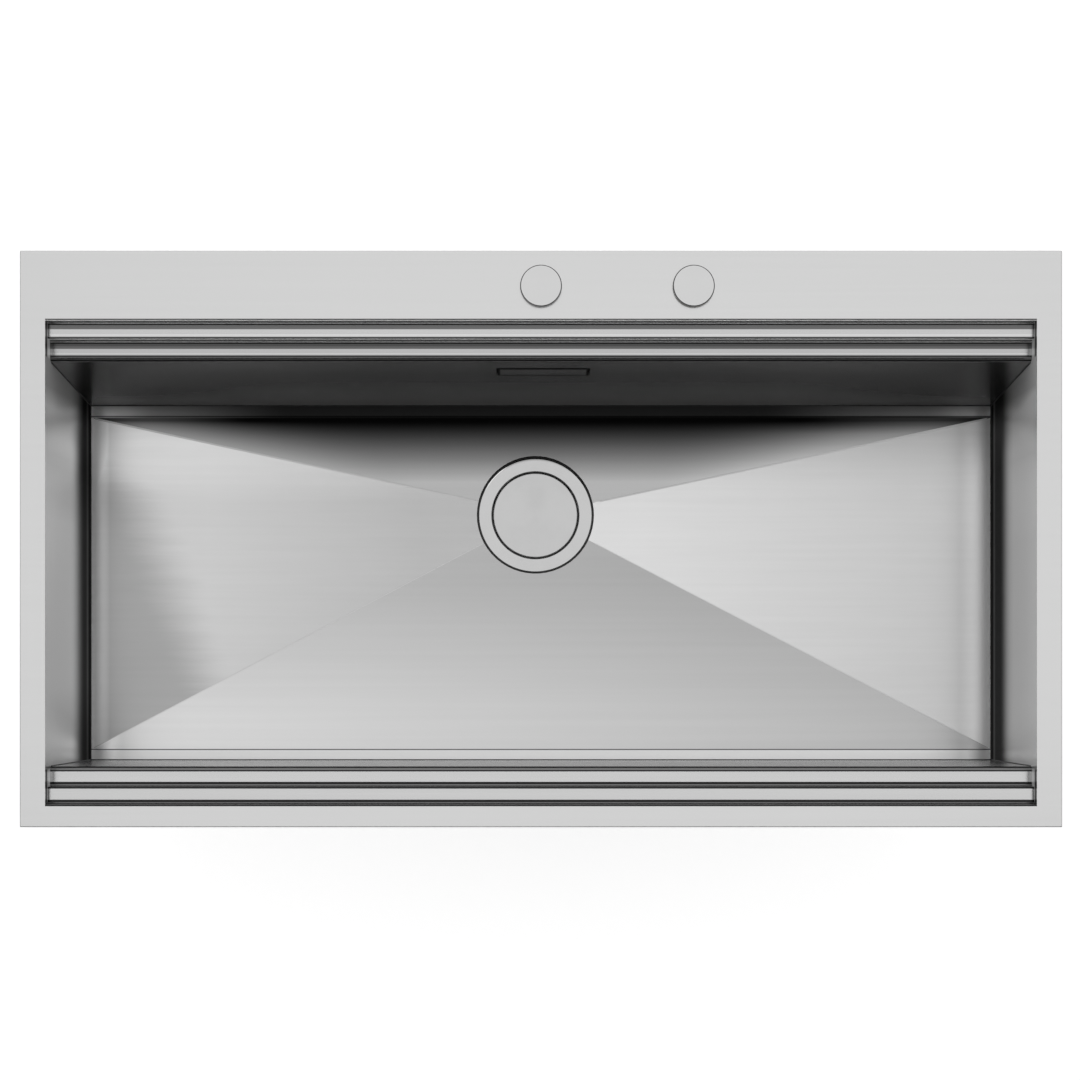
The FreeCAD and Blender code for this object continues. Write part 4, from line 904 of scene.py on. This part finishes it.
def thread_sleeve(middle, low, high, radius, pitch, depth, columns, skirt=0.4 * MM, lift=0.02 * MM):
    """A screw thread round an upright bar, as a closed sleeve.

    The distance from the middle is the bar's radius plus the depth times a rounded wave of
    (height / pitch - angle / full turn), which fades out over the first and last turn. A turn has six rows
    of points. The ridges are lifted a hair off the bar, and the inner wall is sunk by the skirt into it.
    """
    rows = max(8, int((high - low) / pitch * 6))
    height = np.linspace(low, high, rows)[:, None]
    angle = np.linspace(0, 2 * math.pi, columns, endpoint=False)[None, :]
    phase = (height - low) / pitch - angle / (2 * math.pi)
    wave = 0.5 - 0.5 * np.cos(2 * math.pi * phase)
    fade = np.clip(np.minimum(height - low, high - height) / pitch, 0, 1)
    inner = np.full((1, columns), radius - skirt)
    distance = np.vstack([inner, radius + depth * wave * fade + lift, inner])
    height = np.vstack([height[:1], height, height[-1:]]) + 0 * distance
    x = middle[0] + distance * np.cos(angle)
    y = middle[1] + distance * np.sin(angle)
    return skin(np.stack([x, y, height], axis=-1), wrap_rows=True, wrap_columns=True)


class SINK_OT_deck_and_bowl(bpy.types.Operator):
    """Brushes the deck, the walls, the ledges and the floor of the bowl"""

    bl_idname = "sink.deck_and_bowl"
    bl_label = "Deck and Bowl Steel"

    def execute(self, context):
        steel = context.scene.sink_steel
        # The deck's steel, with painted shade that darkens it a little towards the back.
        rim = brushed_steel(
            "rim_steel", steel.rim_tone, steel.rim_roughness, anisotropy=0.3, contrast=0.2,
            shade="Deck Painted Shade")
        finish_slot("rim_steel", rim)
        bowl = {"roughness": steel.bowl_roughness, "contrast": 0.35}
        # The overflow's plate: darker steel as painted shade, with painted shade lines round its edges.
        plate = brushed_steel(
            "overflow_steel", steel.bowl_tone * PLATE_TONE, shade="Plate Painted Edge Shade", metal=0.7, **bowl)
        finish_slot("bowl_steel", plate)
        # End walls with a painted shaded foot.
        ends = brushed_steel(
            "end_wall_steel", steel.bowl_tone, steel.bowl_roughness + 0.04, along="Y", anisotropy=0.2,
            contrast=0.35, shade="Foot Painted Shading")
        dress("left_panel", ends)
        dress("right_panel", ends)
        # The ledges, with painted highlights, shade and reflections on their steps.
        dress("back_panel", brushed_steel("back_wall_steel", steel.bowl_tone, shade="Back Ledge Painted Shading", **bowl))
        dress("front_panel", brushed_steel("front_wall_steel", steel.bowl_tone, shade="Front Ledge Painted Shading", **bowl))
        # The floor, with painted light and shade on each facet, strip and fold.
        floor = brushed_steel(
            "floor_steel", steel.floor_tone, steel.floor_roughness, contrast=0.5, shade="Facet Painted Shading")
        finish_slot("floor_steel", floor)
        return {"FINISHED"}


class SINK_OT_discs_and_waste(bpy.types.Operator):
    """Turns the two discs, the waste ring and the plug"""

    bl_idname = "sink.discs_and_waste"
    bl_label = "Discs and Waste Steel"

    def execute(self, context):
        tone = context.scene.sink_steel.rim_tone
        disc = {"tone": tone * DISC_TONE, "roughness": 0.2}
        # The discs' bevels are painted dark, as painted shade round them.
        dress("push_button", turned_steel("button_steel", centre=(BUTTON_X, BUTTON_Y), **disc))
        dress("tap_hole_cap", turned_steel("cap_steel", centre=(CAP_X, CAP_Y), **disc))
        waste = {"roughness": 0.24, "centre": (WASTE_X, WASTE_Y)}
        # The waste's ring, with a painted shadow of the recess and a painted glint.
        ring = turned_steel("waste_steel", tone * RING_TONE, edge=0.8, sunk=True, **waste)
        finish_slot("waste_steel", ring)
        # The plug's bevel is painted lighter, as painted light.
        dress("plug_cover", turned_steel("plug_steel", tone * PLUG_TONE, edge=1.2, **waste))
        return {"FINISHED"}


class SINK_OT_fittings_metal(bpy.types.Operator):
    """Finishes the steel, zinc and brass pieces under the deck and in the waste"""

    bl_idname = "sink.fittings_metal"
    bl_label = "Fittings Metal"

    def execute(self, context):
        inner = plated_metal("inner_steel", low=grey(0.50), high=grey(0.60), roughness=0.34)
        finish_slot("inner_steel", inner)
        zinc = plated_metal(
            "zinc_steel", low=(0.46, 0.48, 0.50, 1), high=(0.60, 0.62, 0.63, 1), roughness=0.42, grain=160.0)
        finish_slot("zinc_steel", zinc)
        brass = plated_metal(
            "brass", low=(0.62, 0.46, 0.20, 1), high=(0.76, 0.60, 0.32, 1), roughness=0.3)
        finish_slot("brass", brass)
        return {"FINISHED"}


class SINK_OT_plastics(bpy.types.Operator):
    """Finishes the moulded waste, nuts, housings, hose and cable"""

    bl_idname = "sink.plastics"
    bl_label = "Plastics"

    def execute(self, context):
        black = moulded_plastic(
            "black_plastic", low=(0.026, 0.026, 0.028, 1), high=(0.044, 0.044, 0.046, 1), roughness=0.42)
        finish_slot("black_plastic", black)
        pale = moulded_plastic(
            "grey_plastic", low=(0.36, 0.37, 0.38, 1), high=(0.46, 0.47, 0.48, 1), roughness=0.38)
        finish_slot("grey_plastic", pale)
        cable = moulded_plastic(
            "cable_plastic", low=(0.03, 0.03, 0.032, 1), high=(0.05, 0.05, 0.052, 1), roughness=0.3,
            grain=1500.0, relief=0.15, coat=0.4)
        finish_slot("cable_plastic", cable)
        return {"FINISHED"}


class SINK_OT_rubbers(bpy.types.Operator):
    """Finishes seals, gasket foam and the deadening pads"""

    bl_idname = "sink.rubbers"
    bl_label = "Rubbers and Foam"

    def execute(self, context):
        finish_slot("seal_rubber", soft_rubber("seal_rubber", low=grey(0.04), high=grey(0.065)))
        foam = soft_rubber("gasket_foam", low=grey(0.085), high=grey(0.13), grain=1400.0, relief=0.6)
        finish_slot("gasket_foam", foam)
        pads = soft_rubber(
            "pad_rubber", low=(0.10, 0.10, 0.11, 1), high=(0.15, 0.15, 0.16, 1), grain=260.0, relief=0.6)
        finish_slot("pad_rubber", pads)
        return {"FINISHED"}


class SINK_OT_bowl_seams(bpy.types.Operator):
    """Rounds the seams between the walls and the floor's folds"""

    bl_idname = "sink.bowl_seams"
    bl_label = "Seams and Folds"

    def execute(self, context):
        detail = context.scene.sink_detail
        # The beads are painted near black, as painted shade along the seams and corners.
        seam = brushed_steel("seam_painted_shade", tone=0.05, roughness=0.5)
        floor = bpy.data.materials["floor_steel"]
        put("bowl_seams", bowl_seams(detail.seam_radius), seam, "sink")
        put("floor_folds", fold_beads(detail.fold_radius), floor, "sink")
        return {"FINISHED"}


class SINK_OT_threads(bpy.types.Operator):
    """Cuts the screw threads of the waste outlet, the control sleeve and the cap's stud"""

    bl_idname = "sink.threads"
    bl_label = "Screw Threads"

    def execute(self, context):
        detail = context.scene.sink_detail
        outlet = thread_sleeve(
            (WASTE_X, WASTE_Y), low=OUTLET_Z + 1 * MM, high=OUTLET_Z + 22 * MM, radius=23.9 * MM,
            pitch=detail.thread_pitch, depth=detail.thread_depth, columns=72)
        put("outlet_thread", [outlet], bpy.data.materials["black_plastic"], "sink")
        sleeve = thread_sleeve(
            (BUTTON_X, BUTTON_Y), low=-39 * MM, high=-7 * MM, radius=11 * MM,
            pitch=1.0 * MM, depth=0.3 * MM, columns=48)
        put("sleeve_thread", [sleeve], bpy.data.materials["brass"], "sink")
        stud = thread_sleeve(
            (CAP_X, CAP_Y), low=-33.5 * MM, high=-9 * MM, radius=4 * MM,
            pitch=1.25 * MM, depth=0.35 * MM, columns=32)
        put("stud_thread", [stud], bpy.data.materials["inner_steel"], "sink")
        return {"FINISHED"}


def studio_floor(low, radius, rings=24, columns=96):
    """A round flat floor: ring i of n lies at the radius times (i / n) to the power 1.5."""
    distance = radius * np.linspace(0, 1, rings + 1)[1:, None] ** 1.5
    angle = np.linspace(0, 2 * math.pi, columns, endpoint=False)[None, :]
    height = low + 0 * distance * angle
    points = np.stack([distance * np.cos(angle), distance * np.sin(angle), height], axis=-1)
    vertices, faces = skin(points, wrap_columns=True)
    faces = [face[::-1] for face in faces]
    faces.append(list(range(columns)))
    return vertices, faces


def floor_material(tone):
    """A pale floor. What the camera and mirrors see of it is lifted to white, and its shadow stays."""
    material, wiring, shader = new_material("studio_floor", 0.0, Roughness=0.9, Emission_Color=grey(1.0))
    cloud = wiring.noise(wiring.coordinate(), scale=1.5)
    wiring.feed(shader["Base Color"], wiring.mix(cloud, grey(tone * 0.985), grey(tone)))
    seen = wiring.node("ShaderNodeLightPath").outputs
    direct = wiring.larger(seen["Is Camera Ray"], seen["Is Glossy Ray"])
    direct = wiring.larger(direct, seen["Is Transmission Ray"])
    wiring.feed(shader["Emission Strength"], wiring.times(direct, FLOOR_LIFT))
    return material


def sky(world, strength):
    """A soft pale room: full light from above and behind, dimmer to the sides and darkest over the front.

    It is white near the horizon, like the floor.
    """
    world.use_nodes = True
    wiring = Wiring(world.node_tree)
    background = world.node_tree.nodes["Background"].inputs
    x, y, z = wiring.apart(wiring.coordinate("Generated"))
    steep = wiring.larger(z, 0.02)
    aside = wiring.size(wiring.less(wiring.math("DIVIDE", x, steep), 0.03))
    front = wiring.ease(wiring.math("DIVIDE", y, steep), -0.40, -0.08, 0.02, 1.0)
    above = wiring.times(front, wiring.ease(aside, 0.20, 0.80, 1.0, 0.55), 1.12)
    raised = wiring.ease(z, 0.22, 0.42, 0.0, 1.0)
    wiring.feed(background["Color"], wiring.blend(raised, 1.0, above))
    background["Strength"].default_value = strength


class SINK_OT_studio(bpy.types.Operator):
    """Sets the floor, the soft light and the camera over the sink"""

    bl_idname = "sink.studio"
    bl_label = "Studio"

    def execute(self, context):
        scene = context.scene
        studio = scene.sink_studio
        vertices, faces = studio_floor(CAD_BOX[0][2] - FLOOR_GAP, FLOOR_RADIUS)
        mesh = bpy.data.meshes.new("studio_floor")
        mesh.from_pydata(vertices.tolist(), [], faces)
        mesh.materials.append(floor_material(studio.floor_tone))
        floor = bpy.data.objects.new("studio_floor", mesh)
        scene.collection.objects.link(floor)
        scene.world = bpy.data.worlds.new("soft_room")
        sky(scene.world, studio.sky_strength)
        camera = bpy.data.cameras.new("photo_camera")
        camera.lens = studio.lens
        camera.sensor_width = 36
        camera.shift_y = CAMERA_SHIFT
        holder = bpy.data.objects.new("photo_camera", camera)
        holder.location = (CAMERA_X, studio.camera_y, studio.camera_height)
        scene.collection.objects.link(holder)
        scene.camera = holder
        scene.view_settings.view_transform = "Standard"
        return {"FINISHED"}


class SINK_PT_finish(bpy.types.Panel):
    """Lists the sink's sizes, tones and steps"""

    bl_label = "Kitchen Sink"
    bl_idname = "SINK_PT_finish"
    bl_space_type = "VIEW_3D"
    bl_region_type = "UI"
    bl_category = "Sink"

    def draw(self, context):
        for group in ("sink_steel", "sink_detail", "sink_studio"):
            box = self.layout.box()
            holder = getattr(context.scene, group)
            for name in type(holder).__annotations__:
                box.prop(holder, name)
        for step in STEPS:
            self.layout.operator(step.bl_idname)


STEPS = (
    SINK_OT_studio,
    SINK_OT_deck_and_bowl,
    SINK_OT_discs_and_waste,
    SINK_OT_fittings_metal,
    SINK_OT_plastics,
    SINK_OT_rubbers,
    SINK_OT_bowl_seams,
    SINK_OT_threads,
)
CLASSES = (SinkSteel, SinkDetail, SinkStudio) + STEPS + (SINK_PT_finish,)


def register():
    for kind in CLASSES:
        bpy.utils.register_class(kind)
    bpy.types.Scene.sink_steel = bpy.props.PointerProperty(type=SinkSteel)
    bpy.types.Scene.sink_detail = bpy.props.PointerProperty(type=SinkDetail)
    bpy.types.Scene.sink_studio = bpy.props.PointerProperty(type=SinkStudio)


def unregister():
    del bpy.types.Scene.sink_steel
    del bpy.types.Scene.sink_detail
    del bpy.types.Scene.sink_studio
    for kind in reversed(CLASSES):
        bpy.utils.unregister_class(kind)


def main():
    register()
    bpy.ops.sink.studio()
    bpy.ops.sink.deck_and_bowl()
    bpy.ops.sink.discs_and_waste()
    bpy.ops.sink.fittings_metal()
    bpy.ops.sink.plastics()
    bpy.ops.sink.rubbers()
    bpy.ops.sink.bowl_seams()
    bpy.ops.sink.threads()


if __name__ == "__main__":
    main()
